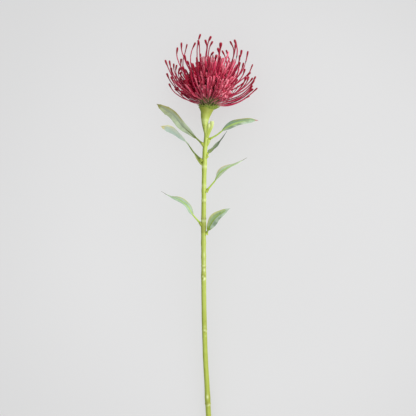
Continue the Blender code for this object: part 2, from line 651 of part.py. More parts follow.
def clear_points(row, fractions):
    """Points of a style that stands clear, at fractions of its way, on a smooth curve from its root.

    Its end stands on the dome, at its lean's share of the dome's height there. On its way it rises off the
    stem's plane ever faster.
    """
    seen = np.array(row[:3]) * MM
    aside = seen[2] - np.array(DOME_CENTRE)
    end_above = row[3] * math.sqrt(max(0.0, DOME_RADIUS ** 2 - aside @ aside))
    lean = np.array((math.sin(HEAD_LEAN), math.cos(HEAD_LEAN)))
    share = CLEAR_ROOT * max(0.0, aside @ lean) / math.hypot(*aside, end_above)
    turn = math.atan2(end_above, aside @ np.array((lean[1], -lean[0])))
    out = ROOT_RADIUS * math.sqrt(1 - share * share) * math.cos(turn)
    height = ROOT_LOW + (ROOT_HIGH - ROOT_LOW) * share
    root = np.array((HEAD_ACROSS, HEAD_ALONG)) + out * np.array((lean[1], -lean[0])) + height * lean
    root_above = ROOT_RADIUS * math.sqrt(1 - share * share) * math.sin(turn)
    flat = np.vstack((root, seen))
    way = np.concatenate(([0.0], np.cumsum(np.hypot(*np.diff(flat, axis=0).T))))
    way /= way[-1]
    above = root_above + (end_above - root_above) * way ** CLEAR_RISE
    middle = np.array(SEEN_FROM[:2])
    flat[1:] = middle + (flat[1:] - middle) * (1 - above[1:, None] / SEEN_FROM[2])
    solid = np.column_stack((flat, above))
    tables = [list(zip(way, solid[:, axis])) for axis in range(3)]
    return [on_table(*(smooth_at(table, fraction) for table in tables)) for fraction in fractions]


def style_curves(profile, collection):
    """The open florets' styles, a golden angle from each to the next, and a band beside half of them."""
    draw = random.Random(SEED)
    curves = []
    for number in range(SPIRAL_COUNT):
        share = TOP_SHARE * ((number + 0.5) / SPIRAL_COUNT) ** CROWDED_LOW
        turn = number * GOLDEN_ANGLE
        more_bend = math.radians(draw.uniform(-BEND_SPREAD, BEND_SPREAD))
        jitter = (more_bend, draw.uniform(*LENGTH_SPREAD), draw.uniform(-TURN_SPREAD, TURN_SPREAD))
        if opens(share, turn):
            points = [head_point(*place) for place in floret_path(share, turn, jitter, STYLE_STATIONS)]
            curves.append(style_curve(f"style_{number:03d}", points, 1.0, collection))
        if number % BAND_EVERY == 0 and share > BAND_LOWEST:
            curves.append(band_curve(number, share, turn, jitter, collection))
    for number, row in enumerate(CLEAR_STYLES):
        points = clear_points(row, STYLE_STATIONS)
        curves.append(style_curve(f"clear_{number:02d}", points, row[4], collection))
    for curve in curves:
        curve.data.bevel_mode = "OBJECT"
        curve.data.bevel_object = profile
    return curves


def style_curve(name, points, end_size, collection):
    """One style: a thin rod that thickens at its end."""
    radii = [STYLE_RADIUS * (thick * end_size if thick > 1 else thick) for thick in STYLE_THICKNESS]
    points = [pressed(point, radius) for point, radius in zip(points, radii)]
    return tube(name, points, radii, collection, resolution=0)


def band_curve(number, share, turn, jitter, collection):
    """A perianth band: it follows its style outwards and curls back at its end."""
    path = floret_path(share, turn, jitter, BAND_STATIONS)
    points = [head_point(*place) for place in path]
    ahead = (points[-1] - points[-2]).normalized()
    outward = (HEAD_RIGHT * math.cos(turn) + OFF_TABLE * math.sin(turn)).normalized()
    away = (outward - ahead * ahead.dot(outward)).normalized()
    for ahead_by, away_by in BAND_CURL:
        points.append(points[-1] + ahead * ahead_by + away * away_by)
    radii = [BAND_RADIUS * thick for thick in BAND_THICKNESS]
    points = [pressed(point, radius) for point, radius in zip(points, radii)]
    return tube(f"band_{number:03d}", points, radii, collection, resolution=0)


def bud_curves(profile, collection):
    """The unopened florets in the middle of the head: short thick rods with blunt ends."""
    draw = random.Random(SEED + 1)
    curves = []
    for number in range(BUD_COUNT):
        share = math.sqrt((number + 0.5) / BUD_COUNT)
        turn = number * GOLDEN_ANGLE
        spread = BUD_SPREAD * share
        length = BUD_LENGTH * draw.uniform(*BUD_LENGTH_SPREAD)
        points = []
        for fraction in BUD_STATIONS:
            leaning = spread * (1 - BUD_STRAIGHTENS * fraction)
            out = BUD_ROOT_RADIUS * share + length * fraction * math.sin(leaning)
            points.append(head_point(out, turn, BUD_ROOT + length * fraction * math.cos(spread)))
        radii = [BUD_RADIUS * thick for thick in BUD_THICKNESS]
        curves.append(tube(f"bud_{number:02d}", points, radii, collection, resolution=0))
    for curve in curves:
        curve.data.bevel_mode = "OBJECT"
        curve.data.bevel_object = profile
    return curves


def make_flower_head(collection, red):
    """The receptacle's dense core with every floret fused to it."""
    core = turned("flower_head", [(r * MM, h * MM) for r, h in CORE_TURNED], collection)
    core.matrix_world = HEAD_MATRIX
    apply_modifiers(core)
    core.data.transform(core.matrix_world)
    core.matrix_world = Matrix.Identity(4)
    florets = new_collection("florets")
    profile = rod_profile()
    curves = style_curves(profile, florets) + bud_curves(profile, florets)
    meshes_of(curves, florets)
    bpy.data.objects.remove(profile)
    fuse(core, florets, "MANIFOLD")
    finish(core, "flower_head", red)


def main():
    """Builds every piece of the flower."""
    clear_scene()
    flower = new_collection("pincushion_protea")
    stem_green = material("stem_skin", (0.46, 0.58, 0.10), 0.45)
    leaf_green = material("leaf", (0.25, 0.38, 0.20), 0.55)
    bract_green = material("bract", (0.20, 0.28, 0.06), 0.65)
    style_red = material("style", (0.42, 0.012, 0.045), 0.42)
    make_stem(flower, stem_green)
    for name, leaf in LEAVES.items():
        make_leaf(name, leaf, flower, leaf_green)
    make_involucre(flower, bract_green)
    make_flower_head(flower, style_red)


main()
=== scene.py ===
"""How a cut pincushion protea stem looks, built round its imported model.

The stem lies on its side and the camera looks down on it. Shapes are worked out in the stem's own directions,
across, along and above, in metres, and laid on the table by Lay.place(). Every piece is a grid of points that
numpy works out as a whole.
"""

import logging
import math
import random
from collections.abc import Sequence
from dataclasses import dataclass
from enum import Enum, IntEnum
from typing import Any

import bpy
import numpy as np
from mathutils import Matrix


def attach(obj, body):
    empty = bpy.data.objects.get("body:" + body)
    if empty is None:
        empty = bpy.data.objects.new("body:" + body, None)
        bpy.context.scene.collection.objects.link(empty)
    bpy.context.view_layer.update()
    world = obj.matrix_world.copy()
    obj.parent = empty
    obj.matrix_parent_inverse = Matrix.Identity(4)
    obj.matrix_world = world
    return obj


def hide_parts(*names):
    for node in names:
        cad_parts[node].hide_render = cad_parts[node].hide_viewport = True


Array = np.ndarray
Colour = tuple[float, float, float, float]
Point = tuple[float, float, float]
Span = tuple[float, float]
Table = tuple[tuple[float, ...], ...]
Socket = bpy.types.NodeSocket
Piece = bpy.types.Object
Finish = bpy.types.Material

LOG = logging.getLogger("protea")
MM = 0.001
BODY = "root"
GOLDEN_ANGLE = math.pi * (3 - math.sqrt(5))
SHARP_ANGLE = math.radians(60)
TAU = math.tau

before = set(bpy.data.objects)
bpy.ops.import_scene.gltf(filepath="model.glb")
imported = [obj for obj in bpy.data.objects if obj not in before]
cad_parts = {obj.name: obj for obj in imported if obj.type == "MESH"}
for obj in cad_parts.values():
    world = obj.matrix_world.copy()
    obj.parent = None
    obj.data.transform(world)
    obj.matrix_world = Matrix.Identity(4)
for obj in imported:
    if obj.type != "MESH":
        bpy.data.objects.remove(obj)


class Slot(Enum):
    """The record's material slots."""

    STEM = "stem_skin"
    LEAF = "leaf"
    BRACT = "bract"
    STYLE = "style"


class Seed(IntEnum):
    """Where each set of random differences starts."""

    FILLING_FLORETS = 3
    CLOSED_FLORETS = 4
    STYLES = 5
    LONG_FLORETS = 6
    CURLED_FLORETS = 7
    LIMBS = 8
    OPEN_FLORETS = 11
    BUDS = 12
    BRACTS = 17
    OWN_LIMBS = 21
    FILLING_LIMBS = 22
    LONG_LIMBS = 23
    CURLED_LIMBS = 24
    DOWN = 31
    CLOSED_SHAPES = 41


def paint(code: str) -> Colour:
    """A linear colour from an sRGB hex code.

    Args:
        code: Six hex digits.

    Returns:
        Red, green, blue and an alpha of one.
    """
    shares = np.array([int(code[i:i + 2], 16) for i in (0, 2, 4)]) / 255
    linear = np.where(shares <= 0.04045, shares / 12.92, ((shares + 0.055) / 1.055) ** 2.4)
    return (*(float(share) for share in linear), 1.0)


def unit(vectors: Array) -> Array:
    """The vectors, scaled to a length of one."""
    return vectors / np.maximum(np.linalg.norm(vectors, axis=-1, keepdims=True), 1e-12)


def dot(one: Array, other: Array) -> Array:
    """Dot products along the last axis, which is kept."""
    return (one * other).sum(axis=-1, keepdims=True)


def ease(values: Array, low: float, high: float) -> Array:
    """A smooth step from zero at low to one at high."""
    share = np.clip((values - low) / (high - low), 0, 1)
    return share * share * (3 - 2 * share)


def smooth_curve(places: Array, values: Array, at: Array) -> Array:
    """Values on a smooth curve through the rows of a table: cubic pieces whose slopes are central differences.

    Args:
        places: Rising places of the rows.
        values: A number or a point for each row.
        at: Where the curve is read.

    Returns:
        The curve's values, one for each place in at.
    """
    values = np.asarray(values, float)
    slopes = np.gradient(values, places, axis=0)
    row = np.clip(np.searchsorted(places, at) - 1, 0, len(places) - 2)
    span = places[row + 1] - places[row]
    t = (at - places[row]) / span
    if values.ndim > 1:
        span, t = span[:, None], t[:, None]
    ends = values[row] * (1 + 2 * t) * (1 - t) ** 2 + values[row + 1] * t * t * (3 - 2 * t)
    return ends + span * (slopes[row] * t * (1 - t) ** 2 - slopes[row + 1] * t * t * (1 - t))


def chord_shares(points: Array) -> Array:
    """Each point's share of the way along the straight lines through the points."""
    steps = np.concatenate(([0.0], np.linalg.norm(np.diff(points, axis=0), axis=1)))
    return np.cumsum(steps) / steps.sum()


def smooth_line(points: Array, at: Array) -> Array:
    """Points on a smooth curve through the given ones, at shares of the way along it."""
    return smooth_curve(chord_shares(points), points, at)


def bells(at: Array, places: Array, heights: Array, widths: Array | float) -> Array:
    """The sum of bells height * exp(-((at - place) / width)^2).

    Args:
        at: Where the sum is read.
        places: The middle of each bell.
        heights: Its height.
        widths: Its width, or one width for all.

    Returns:
        The sum, one for each place in at.
    """
    away = (at - np.reshape(places, (-1, 1))) / np.reshape(widths, (-1, 1))
    return np.asarray(heights) @ np.exp(-away ** 2)


def put_in_scene(name: str, data: bpy.types.ID) -> Piece:
    """A new object of that name, at the origin, with its mesh, light or camera."""
    piece = bpy.data.objects.new(name, data)
    bpy.context.scene.collection.objects.link(piece)
    return piece


@dataclass(frozen=True)
class Lay:
    """How the stem lies: its head rests on its lower styles and it slopes down to its cut end."""

    cut_along: float = -224.4 * MM
    head_along: float = 144.6 * MM
    cut_height: float = 2.9 * MM
    head_height: float = 41.8 * MM
    centre_across: float = 0.1 * MM
    centre_along: float = -0.9 * MM

    @property
    def tilt(self) -> float:
        """The stem's slope, in radians."""
        return math.asin((self.head_height - self.cut_height) / (self.head_along - self.cut_along))

    @property
    def right(self) -> Array:
        """The direction across the stem."""
        return np.array([1.0, 0.0, 0.0])

    @property
    def up_stem(self) -> Array:
        """The direction up the stem."""
        return np.array([0.0, math.cos(self.tilt), math.sin(self.tilt)])

    @property
    def off_table(self) -> Array:
        """The direction away from the table, square to the stem."""
        return np.array([0.0, -math.sin(self.tilt), math.cos(self.tilt)])

    def place(self, points: Array) -> Array:
        """Lays points on the table.

        Args:
            points: Across, along and above, on the last axis.

        Returns:
            The same points in the part's frame: turned by the slope about the cut end, and centred.
        """
        points = np.asarray(points, float)
        out = points[..., 1] - self.cut_along
        above = points[..., 2]
        return np.stack((
            points[..., 0] - self.centre_across,
            self.cut_along + out * math.cos(self.tilt) - above * math.sin(self.tilt) - self.centre_along,
            self.cut_height + out * math.sin(self.tilt) + above * math.cos(self.tilt),
        ), axis=-1)


LAY = Lay()


@dataclass(frozen=True)
class HeadSeat:
    """Where the flower head sits on the stem, and how it leans."""

    across: float = 1.2 * MM
    lean: float = math.radians(4)
    press_softness: float = 1.1 * MM
    press_gap: float = 0.02 * MM

    @property
    def axis(self) -> Array:
        """The head's axis, away from the stem."""
        return LAY.up_stem * math.cos(self.lean) + LAY.right * math.sin(self.lean)

    @property
    def right(self) -> Array:
        """The direction across the head."""
        return LAY.right * math.cos(self.lean) - LAY.up_stem * math.sin(self.lean)

    @property
    def seam(self) -> Array:
        """The side of a floret that its first points are on."""
        return LAY.up_stem + 0.3 * LAY.right

    @property
    def base(self) -> Array:
        """The middle of the head's foot."""
        return LAY.place(np.array([self.across, LAY.head_along, 0.0]))

    def outward(self, turn: Array) -> Array:
        """Unit vectors away from the axis, at each angle round it."""
        return self.right * np.cos(turn)[..., None] + LAY.off_table * np.sin(turn)[..., None]

    def sideways(self, turn: Array) -> Array:
        """Unit vectors round the axis, at each angle round it."""
        return LAY.off_table * np.cos(turn)[..., None] - self.right * np.sin(turn)[..., None]

    def point(self, radius: Array, turn: Array, height: Array) -> Array:
        """Points from their radius, angle and height about the axis."""
        radius, turn, height = np.broadcast_arrays(radius, turn, height)
        return self.base + self.outward(turn) * radius[..., None] + self.axis * height[..., None]

    def pressed(self, points: Array, radius: Array) -> Array:
        """Lifts points smoothly where a rod of that radius would sink below the table.

        Args:
            points: Points in the part's frame.
            radius: The rod's radius at each point.

        Returns:
            The points, with height r + s * log(1 + exp((z - r) / s)), s being the softness, and r the radius
            and a small gap.
        """
        raised = points.copy()
        radius = radius + self.press_gap
        depth = (points[..., 2] - radius) / self.press_softness
        raised[..., 2] = radius + self.press_softness * np.logaddexp(0, depth)
        return raised


SEAT = HeadSeat()


class Surfaces:
    """Closed grids gathered for one mesh, with named values at their points."""

    def __init__(self, *names: str) -> None:
        """Starts an empty mesh whose points carry values of these names."""
        self.names = names
        self.points: list[Array] = []
        self.corners: list[Array] = []
        self.sizes: list[Array] = []
        self.values: dict[str, list[Array]] = {name: [] for name in names}
        self.count = 0

    def add_tubes(self, points: Array, **values: Array | float) -> None:
        """Adds tubes, each closed by a fan at both ends, with outward faces.

        Args:
            points: Tubes, rows along each, and points round each row, anticlockwise as seen from its far end.
            values: A named value at each point, in any shape that broadcasts to tubes, rows and points.
        """
        tubes, rows, sides, _ = points.shape
        index = self.count + np.arange(tubes * rows * sides).reshape(tubes, rows, sides)
        beside = np.roll(index, -1, axis=2)
        quads = np.stack((index[:, :-1], beside[:, :-1], beside[:, 1:], index[:, 1:]), axis=-1)
        middle = self.count + index.size + np.arange(tubes * 2).reshape(tubes, 2, 1)
        foot = np.stack((np.broadcast_to(middle[:, 0], (tubes, sides)), beside[:, 0], index[:, 0]), axis=-1)
        tip = np.stack((np.broadcast_to(middle[:, 1], (tubes, sides)), index[:, -1], beside[:, -1]), axis=-1)
        self.corners += [quads.ravel(), foot.ravel(), tip.ravel()]
        self.sizes += [np.full(quads.size // 4, 4), np.full(2 * tubes * sides, 3)]
        self.points += [points.reshape(-1, 3), points[:, (0, -1)].mean(axis=2).reshape(-1, 3)]
        for name in self.names:
            value = np.broadcast_to(np.asarray(values.get(name, 0.0), float), (tubes, rows, sides))
            self.values[name] += [value.ravel(), value[:, (0, -1)].mean(axis=2).ravel()]
        self.count += index.size + tubes * 2

    def build(self, name: str, finish: Finish) -> Piece:
        """Makes the mesh and its object.

        Args:
            name: The piece's name.
            finish: Its material.

        Returns:
            The piece, at the origin, in the scene.
        """
        points = np.concatenate(self.points)
        corners = np.concatenate(self.corners)
        sizes = np.concatenate(self.sizes)
        mesh = bpy.data.meshes.new(name)
        mesh.vertices.add(len(points))
        mesh.vertices.foreach_set("co", points.astype(np.float32).ravel())
        mesh.loops.add(len(corners))
        mesh.loops.foreach_set("vertex_index", corners.astype(np.int32))
        mesh.polygons.add(len(sizes))
        mesh.polygons.foreach_set("loop_start", np.concatenate(([0], np.cumsum(sizes)[:-1])).astype(np.int32))
        mesh.update(calc_edges=True)
        mesh.validate()
        mesh.shade_smooth()
        mesh.set_sharp_from_angle(angle=SHARP_ANGLE)
        for value_name, value in self.values.items():
            layer = mesh.attributes.new(value_name, "FLOAT", "POINT")
            layer.data.foreach_set("value", np.concatenate(value).astype(np.float32))
        mesh.materials.append(finish)
        return put_in_scene(name, mesh)


def swept(path: Array, side: Array, u: Array, v: Array) -> Array:
    """A profile carried along paths: path + side * u + face * v, where face is square to the path and to side.

    Args:
        path: Paths, rows and coordinates.
        side: A direction for each path or row; the part of it along the path is taken out.
        u: The profile's points along side, for paths, rows and points, anticlockwise with v.
        v: The profile's points along face.

    Returns:
        Points for Surfaces.add_tubes().
    """
    ahead = unit(np.gradient(path, axis=1))
    side = unit(side - ahead * dot(ahead, np.broadcast_to(side, path.shape)))
    face = np.cross(ahead, side)
    return path[:, :, None] + side[:, :, None] * u[..., None] + face[:, :, None] * v[..., None]


def rods(path: Array, side: Array, radius: Array, sides: int) -> Array:
    """Round tubes: path + radius * (side * cos a + face * sin a), face being square to the path and to side.

    Args:
        path: Paths, rows and coordinates.
        side: The side that each row's first point is on.
        radius: The radius for each path and row, or for each of a row's points too.
        sides: How many points a row has.

    Returns:
        Points for Surfaces.add_tubes().
    """
    angle = np.arange(sides) * TAU / sides
    if radius.ndim < path.ndim:
        radius = radius[..., None]
    return swept(path, side, radius * np.cos(angle), radius * np.sin(angle))


def fit_piece(piece: Piece, slot: Slot, nodes: Sequence[str] = ()) -> Piece:
    """Rides a piece on the flower, hides the model's nodes that it stands for, and reports it.

    Args:
        piece: The piece.
        slot: The record's material slot; not used.
        nodes: The model's nodes that it stands for.

    Returns:
        The piece.
    """
    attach(piece, BODY)
    if nodes:
        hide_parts(*nodes)
    faces = sum(len(face.vertices) - 2 for face in piece.data.polygons)
    LOG.info("%s: %d triangles", piece.name, faces)
    return piece


class Shade:
    """The nodes of one material."""

    def __init__(self, name: str) -> None:
        """Starts a material of that name with its Principled shader."""
        self.material = bpy.data.materials.new(name)
        self.material.use_nodes = True
        self.tree = self.material.node_tree
        self.shader = self.tree.nodes["Principled BSDF"]

    def add(self, kind: str, *inputs: Any, out: str | None = None, **settings: Any) -> Socket:
        """Adds a node with its settings, values and links.

        Args:
            kind: The node's type.
            inputs: Values or sockets for the node's open inputs in order, or None to leave one as it is.
            out: The name of the output wanted, or None for the first open one.
            settings: The node's own properties.

        Returns:
            The output.
        """
        node = self.tree.nodes.new(kind)
        for name, value in settings.items():
            setattr(node, name, value)
        for socket, value in zip([s for s in node.inputs if s.enabled], inputs):
            if isinstance(value, Socket):
                self.tree.links.new(value, socket)
            elif value is not None:
                socket.default_value = value
        return node.outputs[out] if out else next(s for s in node.outputs if s.enabled)

    def value(self, name: str) -> Socket:
        """A named value of the piece's own points."""
        return self.add("ShaderNodeAttribute", attribute_name=name, out="Fac")

    def where(self) -> Socket:
        """The place on the piece, in metres."""
        return self.add("ShaderNodeTexCoord", out="Object")

    def stretched(self, times: Point) -> Socket:
        """The place on the piece, for patterns stretched so much across, along and above the stem."""
        turn = (-LAY.tilt, 0, 0)
        return self.add("ShaderNodeMapping", self.where(), None, turn, times, vector_type="TEXTURE")

    def cloud(self, where: Socket, size: float, detail: float = 3.0) -> Socket:
        """Soft patches of that size in metres, from zero to one."""
        return self.add("ShaderNodeTexNoise", where, 1 / size, detail, out="Fac")

    def cells(self, where: Socket, size: float) -> Socket:
        """The distance to the middle of the nearest cell, for cells of that size in metres."""
        return self.add("ShaderNodeTexVoronoi", where, 1 / size, out="Distance")

    def ramp(self, value: Socket, low: float, high: float, start: float = 0.0, end: float = 1.0) -> Socket:
        """A smooth step from start, at low, to end, at high."""
        return self.add("ShaderNodeMapRange", value, low, high, start, end, interpolation_type="SMOOTHSTEP")

    def mix(self, share: Socket, one: Socket | Colour, other: Socket | Colour) -> Socket:
        """One colour with a share of the other."""
        return self.add("ShaderNodeMix", share, one, other, data_type="RGBA")

    def sum(self, operation: str, *numbers: Socket | float) -> Socket:
        """The result of a sum on numbers."""
        return self.add("ShaderNodeMath", *numbers, operation=operation)

    def finish(self, colour: Socket, roughness: Socket | float, relief: Socket | None = None,
               depth: float = 0.0, **fixed: Any) -> Finish:
        """Gives the shader its colour, roughness and relief.

        Args:
            colour: The base colour's socket.
            roughness: A socket or a number.
            relief: A socket from zero to one, or None.
            depth: The relief's height in metres.
            fixed: Other inputs that are the same all over, by name with underscores for spaces.

        Returns:
            The material.
        """
        for name, value in {"Base Color": colour, "Roughness": roughness}.items():
            if isinstance(value, Socket):
                self.tree.links.new(value, self.shader.inputs[name])
            else:
                self.shader.inputs[name].default_value = value
        for name, value in fixed.items():
            self.shader.inputs[name.replace("_", " ")].default_value = value
        if relief is not None:
            bump = self.add("ShaderNodeBump", 1.0, depth, None, relief, out="Normal")
            self.tree.links.new(bump, self.shader.inputs["Normal"])
        return self.material


@dataclass(frozen=True)
class StemSkin:
    """Smooth young bark: a waxy yellow-green skin with long fibres under it, olive where leaves stood.

    The value side is high on the stem's left, where it paints shade in a deeper green, away from the light; the
    value pale paints pale rings and marks, and also highlights.
    """

    young: str = "B0C05C"
    deep: str = "93A432"
    olive: str = "8A9030"
    # Painted shade: the deeper green on the stem's left, by the value side.
    painted_shade_green: str = "728000"
    # Pale rings and marks, and painted highlights.
    pale: str = "DCE4AE"
    speck: str = "6B6A35"
    patch: float = 7.0 * MM
    fibre: float = 0.9 * MM
    fibre_stretch: Point = (1, 14, 1)
    speck_gap: float = 2.6 * MM
    speck_stretch: Point = (1, 2.2, 1)
    speck_share: float = 0.6
    roughness: Span = (0.32, 0.46)
    relief: float = 0.10 * MM
    gloss: float = 0.26

    def make(self) -> Finish:
        """The material: patches and long fibres, the values olive, side as painted shade and pale, and small
        specks.
        """
        shade = Shade("waxy_stem_skin")
        fibres = shade.cloud(shade.stretched(self.fibre_stretch), self.fibre, 2.0)
        patches = shade.cloud(shade.where(), self.patch)
        share = shade.sum("MULTIPLY_ADD", fibres, 0.5, shade.sum("MULTIPLY_ADD", patches, 0.9, -0.40))
        colour = shade.mix(share, paint(self.young), paint(self.deep))
        uneven = shade.sum("MULTIPLY", shade.value("olive"), shade.ramp(patches, 0.2, 0.5, 0.75, 1.0))
        colour = shade.mix(uneven, colour, paint(self.olive))
        # Painted shade on the left, by the value side, made patchy along the fibres.
        painted_shade_share = shade.sum("MULTIPLY_ADD", fibres, 0.5, shade.sum("ADD", shade.value("side"), -0.25))
        colour = shade.mix(shade.ramp(painted_shade_share, 0.42, 0.92), colour, paint(self.painted_shade_green))
        # Pale rings and marks, and painted highlights, by the value pale.
        pale_marks_and_highlights = shade.sum("MULTIPLY", shade.value("pale"), shade.ramp(fibres, 0.3, 0.55, 0.6, 1.0))
        colour = shade.mix(pale_marks_and_highlights, colour, paint(self.pale))
        cells = shade.cells(shade.stretched(self.speck_stretch), self.speck_gap)
        specks = shade.sum("MULTIPLY", shade.ramp(cells, 0.16, 0.08), shade.ramp(patches, 0.50, 0.62))
        colour = shade.mix(shade.sum("MULTIPLY", specks, self.speck_share), colour, paint(self.speck))
        relief = shade.sum("ADD", fibres, specks)
        roughness = shade.ramp(patches, 0.3, 0.7, *self.roughness)
        return shade.finish(colour, roughness, relief, self.relief, Specular_IOR_Level=self.gloss)


@dataclass(frozen=True)
class CutWood:
    """A fresh cut across the stem: pale moist pith in a greener ring of fibres."""

    pith: str = "E9EBC6"
    ring: str = "A9BC6A"
    skin: str = "7F9440"
    grain: float = 0.6 * MM
    roughness: float = 0.5
    relief: float = 0.12 * MM

    def make(self) -> Finish:
        """The material: pith in the middle, then fibres and skin, by the value out."""
        shade = Shade("fresh_cut_stem")
        grain = shade.cloud(shade.where(), self.grain)
        out = shade.sum("MULTIPLY_ADD", grain, 0.22, shade.value("out"))
        colour = shade.mix(shade.ramp(out, 0.55, 0.80), paint(self.pith), paint(self.ring))
        colour = shade.mix(shade.ramp(out, 0.98, 1.08), colour, paint(self.skin))
        return shade.finish(colour, self.roughness, grain, self.relief)


@dataclass(frozen=True)
class LeafSkin:
    """A leathery leaf: a grey waxy bloom over green, a yellow-green midrib and a thin dry margin.

    The halves below and above the midrib are told by the value across, which is positive above on a leaf that
    grows to the right and below on one that grows to the left. margin_side is the half that the dry margin is
    on, wash is how much of the tip's colour the outer half has, and far_rib how much of the midrib's lasts there.
    """

    minus_half: str = "B4C8AE"
    plus_half: str = "8CA68A"
    deep: str = "748E70"
    midrib: str = "A8CA58"
    midrib_width: float = 0.2
    stalk: str = "A2BC40"
    margin: str = "A9AE62"
    margin_width: float = 0.3
    margin_side: float = 1.0
    margin_start: float = 0.2
    tip: str = "8C8A70"
    tip_start: float = 0.9
    wash: float = 0.0
    far_rib: float = 1.0
    spots: float = 0.0
    spot_gap: float = 2.2 * MM
    mottle: Span = (0.42, 0.68)
    veins: float = 9.0
    vein_slant: float = 1.3
    vein_share: float = 0.22
    patch: float = 6.0 * MM
    grain: float = 0.5 * MM
    roughness: Span = (0.46, 0.60)
    relief: float = 0.12 * MM

    def make(self, name: str) -> Finish:
        """The material, by the values across (-1 to 1), along (0 to 1) and rib (on the stalk and midrib).

        Args:
            name: The leaf's name.

        Returns:
            The material: two halves with slanting side veins, a midrib, a margin, a tip, spots and a grain.
        """
        shade = Shade(f"leathery_{name}")
        where = shade.where()
        patches = shade.cloud(where, self.patch)
        grain = shade.cloud(where, self.grain, 2.0)
        across, along, rib = shade.value("across"), shade.value("along"), shade.value("rib")
        out = shade.sum("ABSOLUTE", across)
        colour = shade.mix(shade.ramp(across, -0.12, 0.12), paint(self.minus_half), paint(self.plus_half))
        colour = shade.mix(shade.ramp(patches, *self.mottle, 0.0, 0.6), colour, paint(self.deep))
        colour = shade.mix(shade.ramp(along, 0.55, 0.95, 0.0, self.wash), colour, paint(self.tip))
        slant = shade.sum("MULTIPLY_ADD", out, -self.vein_slant, shade.sum("MULTIPLY", along, self.veins))
        slant = shade.sum("MULTIPLY_ADD", patches, 0.5, slant)
        vein = shade.ramp(shade.sum("PINGPONG", slant, 0.5), 0.10, 0.0)
        colour = shade.mix(shade.sum("MULTIPLY", vein, self.vein_share), colour, paint(self.midrib))
        edge = shade.sum("MULTIPLY_ADD", patches, 0.5, shade.sum("MULTIPLY", across, self.margin_side))
        edge = shade.ramp(edge, 1.22 - self.margin_width, 1.22)
        dry = shade.ramp(along, self.margin_start, self.margin_start + 0.2, 0.0, 0.9)
        colour = shade.mix(shade.sum("MULTIPLY", edge, dry), colour, paint(self.margin))
        cells = shade.ramp(shade.cells(where, self.spot_gap), 0.30, 0.16)
        spots = shade.sum("MULTIPLY", cells, shade.ramp(along, 0.55, 0.85, 0.0, self.spots))
        colour = shade.mix(spots, colour, paint(self.tip))
        lasting = shade.ramp(along, 0.5, 0.8, 1.0, self.far_rib)
        near = shade.sum("MULTIPLY", shade.ramp(out, self.midrib_width, 0.04, 0.0, 0.9), lasting)
        colour = shade.mix(near, colour, paint(self.midrib))
        wood = shade.mix(shade.ramp(along, 0.25, 0.50), paint(self.stalk), paint(self.midrib))
        colour = shade.mix(shade.sum("MULTIPLY", rib, lasting), colour, wood)
        colour = shade.mix(shade.ramp(along, 0.22, 0.10), colour, paint(self.stalk))
        colour = shade.mix(shade.ramp(along, self.tip_start - 0.06, self.tip_start), colour, paint(self.tip))
        relief = shade.sum("MULTIPLY_ADD", vein, -0.7, grain)
        return shade.finish(colour, shade.ramp(patches, 0.3, 0.7, *self.roughness), relief, self.relief)


@dataclass(frozen=True)
class BractSkin:
    """Narrow hairy bracts: green at the foot, and dusky rose at the point on those up against the florets."""

    green: str = "8A9E34"
    dark: str = "62733A"
    rose: str = "B06C74"
    streak: float = 0.9 * MM
    roughness: float = 0.6
    relief: float = 0.2 * MM
    gloss: float = 0.3

    def make(self) -> Finish:
        """The material: streaks of green and dark, rose towards the point by the values along and row."""
        shade = Shade("hairy_bract")
        streaks = shade.cloud(shade.where(), self.streak)
        colour = shade.mix(shade.value("row"), paint(self.green), paint(self.dark))
        colour = shade.mix(shade.ramp(streaks, 0.45, 0.7, 0.0, 0.7), colour, paint(self.dark))
        blush = shade.sum("MULTIPLY", shade.ramp(shade.value("along"), 0.45, 0.95), shade.value("row"))
        colour = shade.mix(blush, colour, paint(self.rose))
        return shade.finish(colour, self.roughness, streaks, self.relief, Specular_IOR_Level=self.gloss)


@dataclass(frozen=True)
class StyleSkin:
    """A firm glossy style: crimson, paler at its foot and darkest at the swollen end that holds the pollen."""

    foot: str = "D29096"
    shaft: str = "BC3254"
    dark_shaft: str = "840A2E"
    club: str = "8C0626"
    end: str = "A83248"
    grain: float = 1.6 * MM
    roughness: float = 0.3
    relief: float = 0.08 * MM
    gloss: float = 0.2

    def make(self) -> Finish:
        """The material: foot to shaft to club by the value along, with each style's own value tone."""
        shade = Shade("glossy_style")
        along, tone = shade.value("along"), shade.value("tone")
        grain = shade.cloud(shade.where(), self.grain)
        shaft = shade.mix(tone, paint(self.shaft), paint(self.dark_shaft))
        colour = shade.mix(shade.ramp(along, 0.06, 0.34), paint(self.foot), shaft)
        colour = shade.mix(shade.ramp(grain, 0.45, 0.75, 0.0, 0.5), colour, paint(self.dark_shaft))
        colour = shade.mix(shade.ramp(along, 0.82, 0.91), colour, paint(self.club))
        colour = shade.mix(shade.ramp(along, 0.985, 1.0, 0.0, 0.6), colour, paint(self.end))
        return shade.finish(colour, self.roughness, grain, self.relief, Specular_IOR_Level=self.gloss)


@dataclass(frozen=True)
class PetalSkin:
    """Curled perianth ribbons: rose to crimson, with a pale silky down on their backs, which also paints
    highlights.
    """

    foot: str = "C88A8A"
    rose: str = "EA4E72"
    deep: str = "A00C30"
    # The pale down, which also paints highlights on the ribbons.
    down: str = "FAD0D6"
    streak: float = 0.8 * MM
    roughness: float = 0.24
    relief: float = 0.15 * MM
    gloss: float = 0.26

    def make(self) -> Finish:
        """The material: foot to rose by the value along, each ribbon's own tone, and down by the value down."""
        shade = Shade("silky_perianth")
        along, tone = shade.value("along"), shade.value("tone")
        streaks = shade.cloud(shade.where(), self.streak)
        petal = shade.mix(tone, paint(self.rose), paint(self.deep))
        colour = shade.mix(shade.ramp(along, 0.05, 0.4), paint(self.foot), petal)
        down = shade.sum("MULTIPLY", shade.value("down"), shade.ramp(streaks, 0.35, 0.7, 0.35, 1.0))
        colour = shade.mix(down, colour, paint(self.down))
        colour = shade.mix(shade.ramp(streaks, 0.5, 0.8, 0.0, 0.45), colour, paint(self.deep))
        return shade.finish(colour, self.roughness, streaks, self.relief, Specular_IOR_Level=self.gloss)


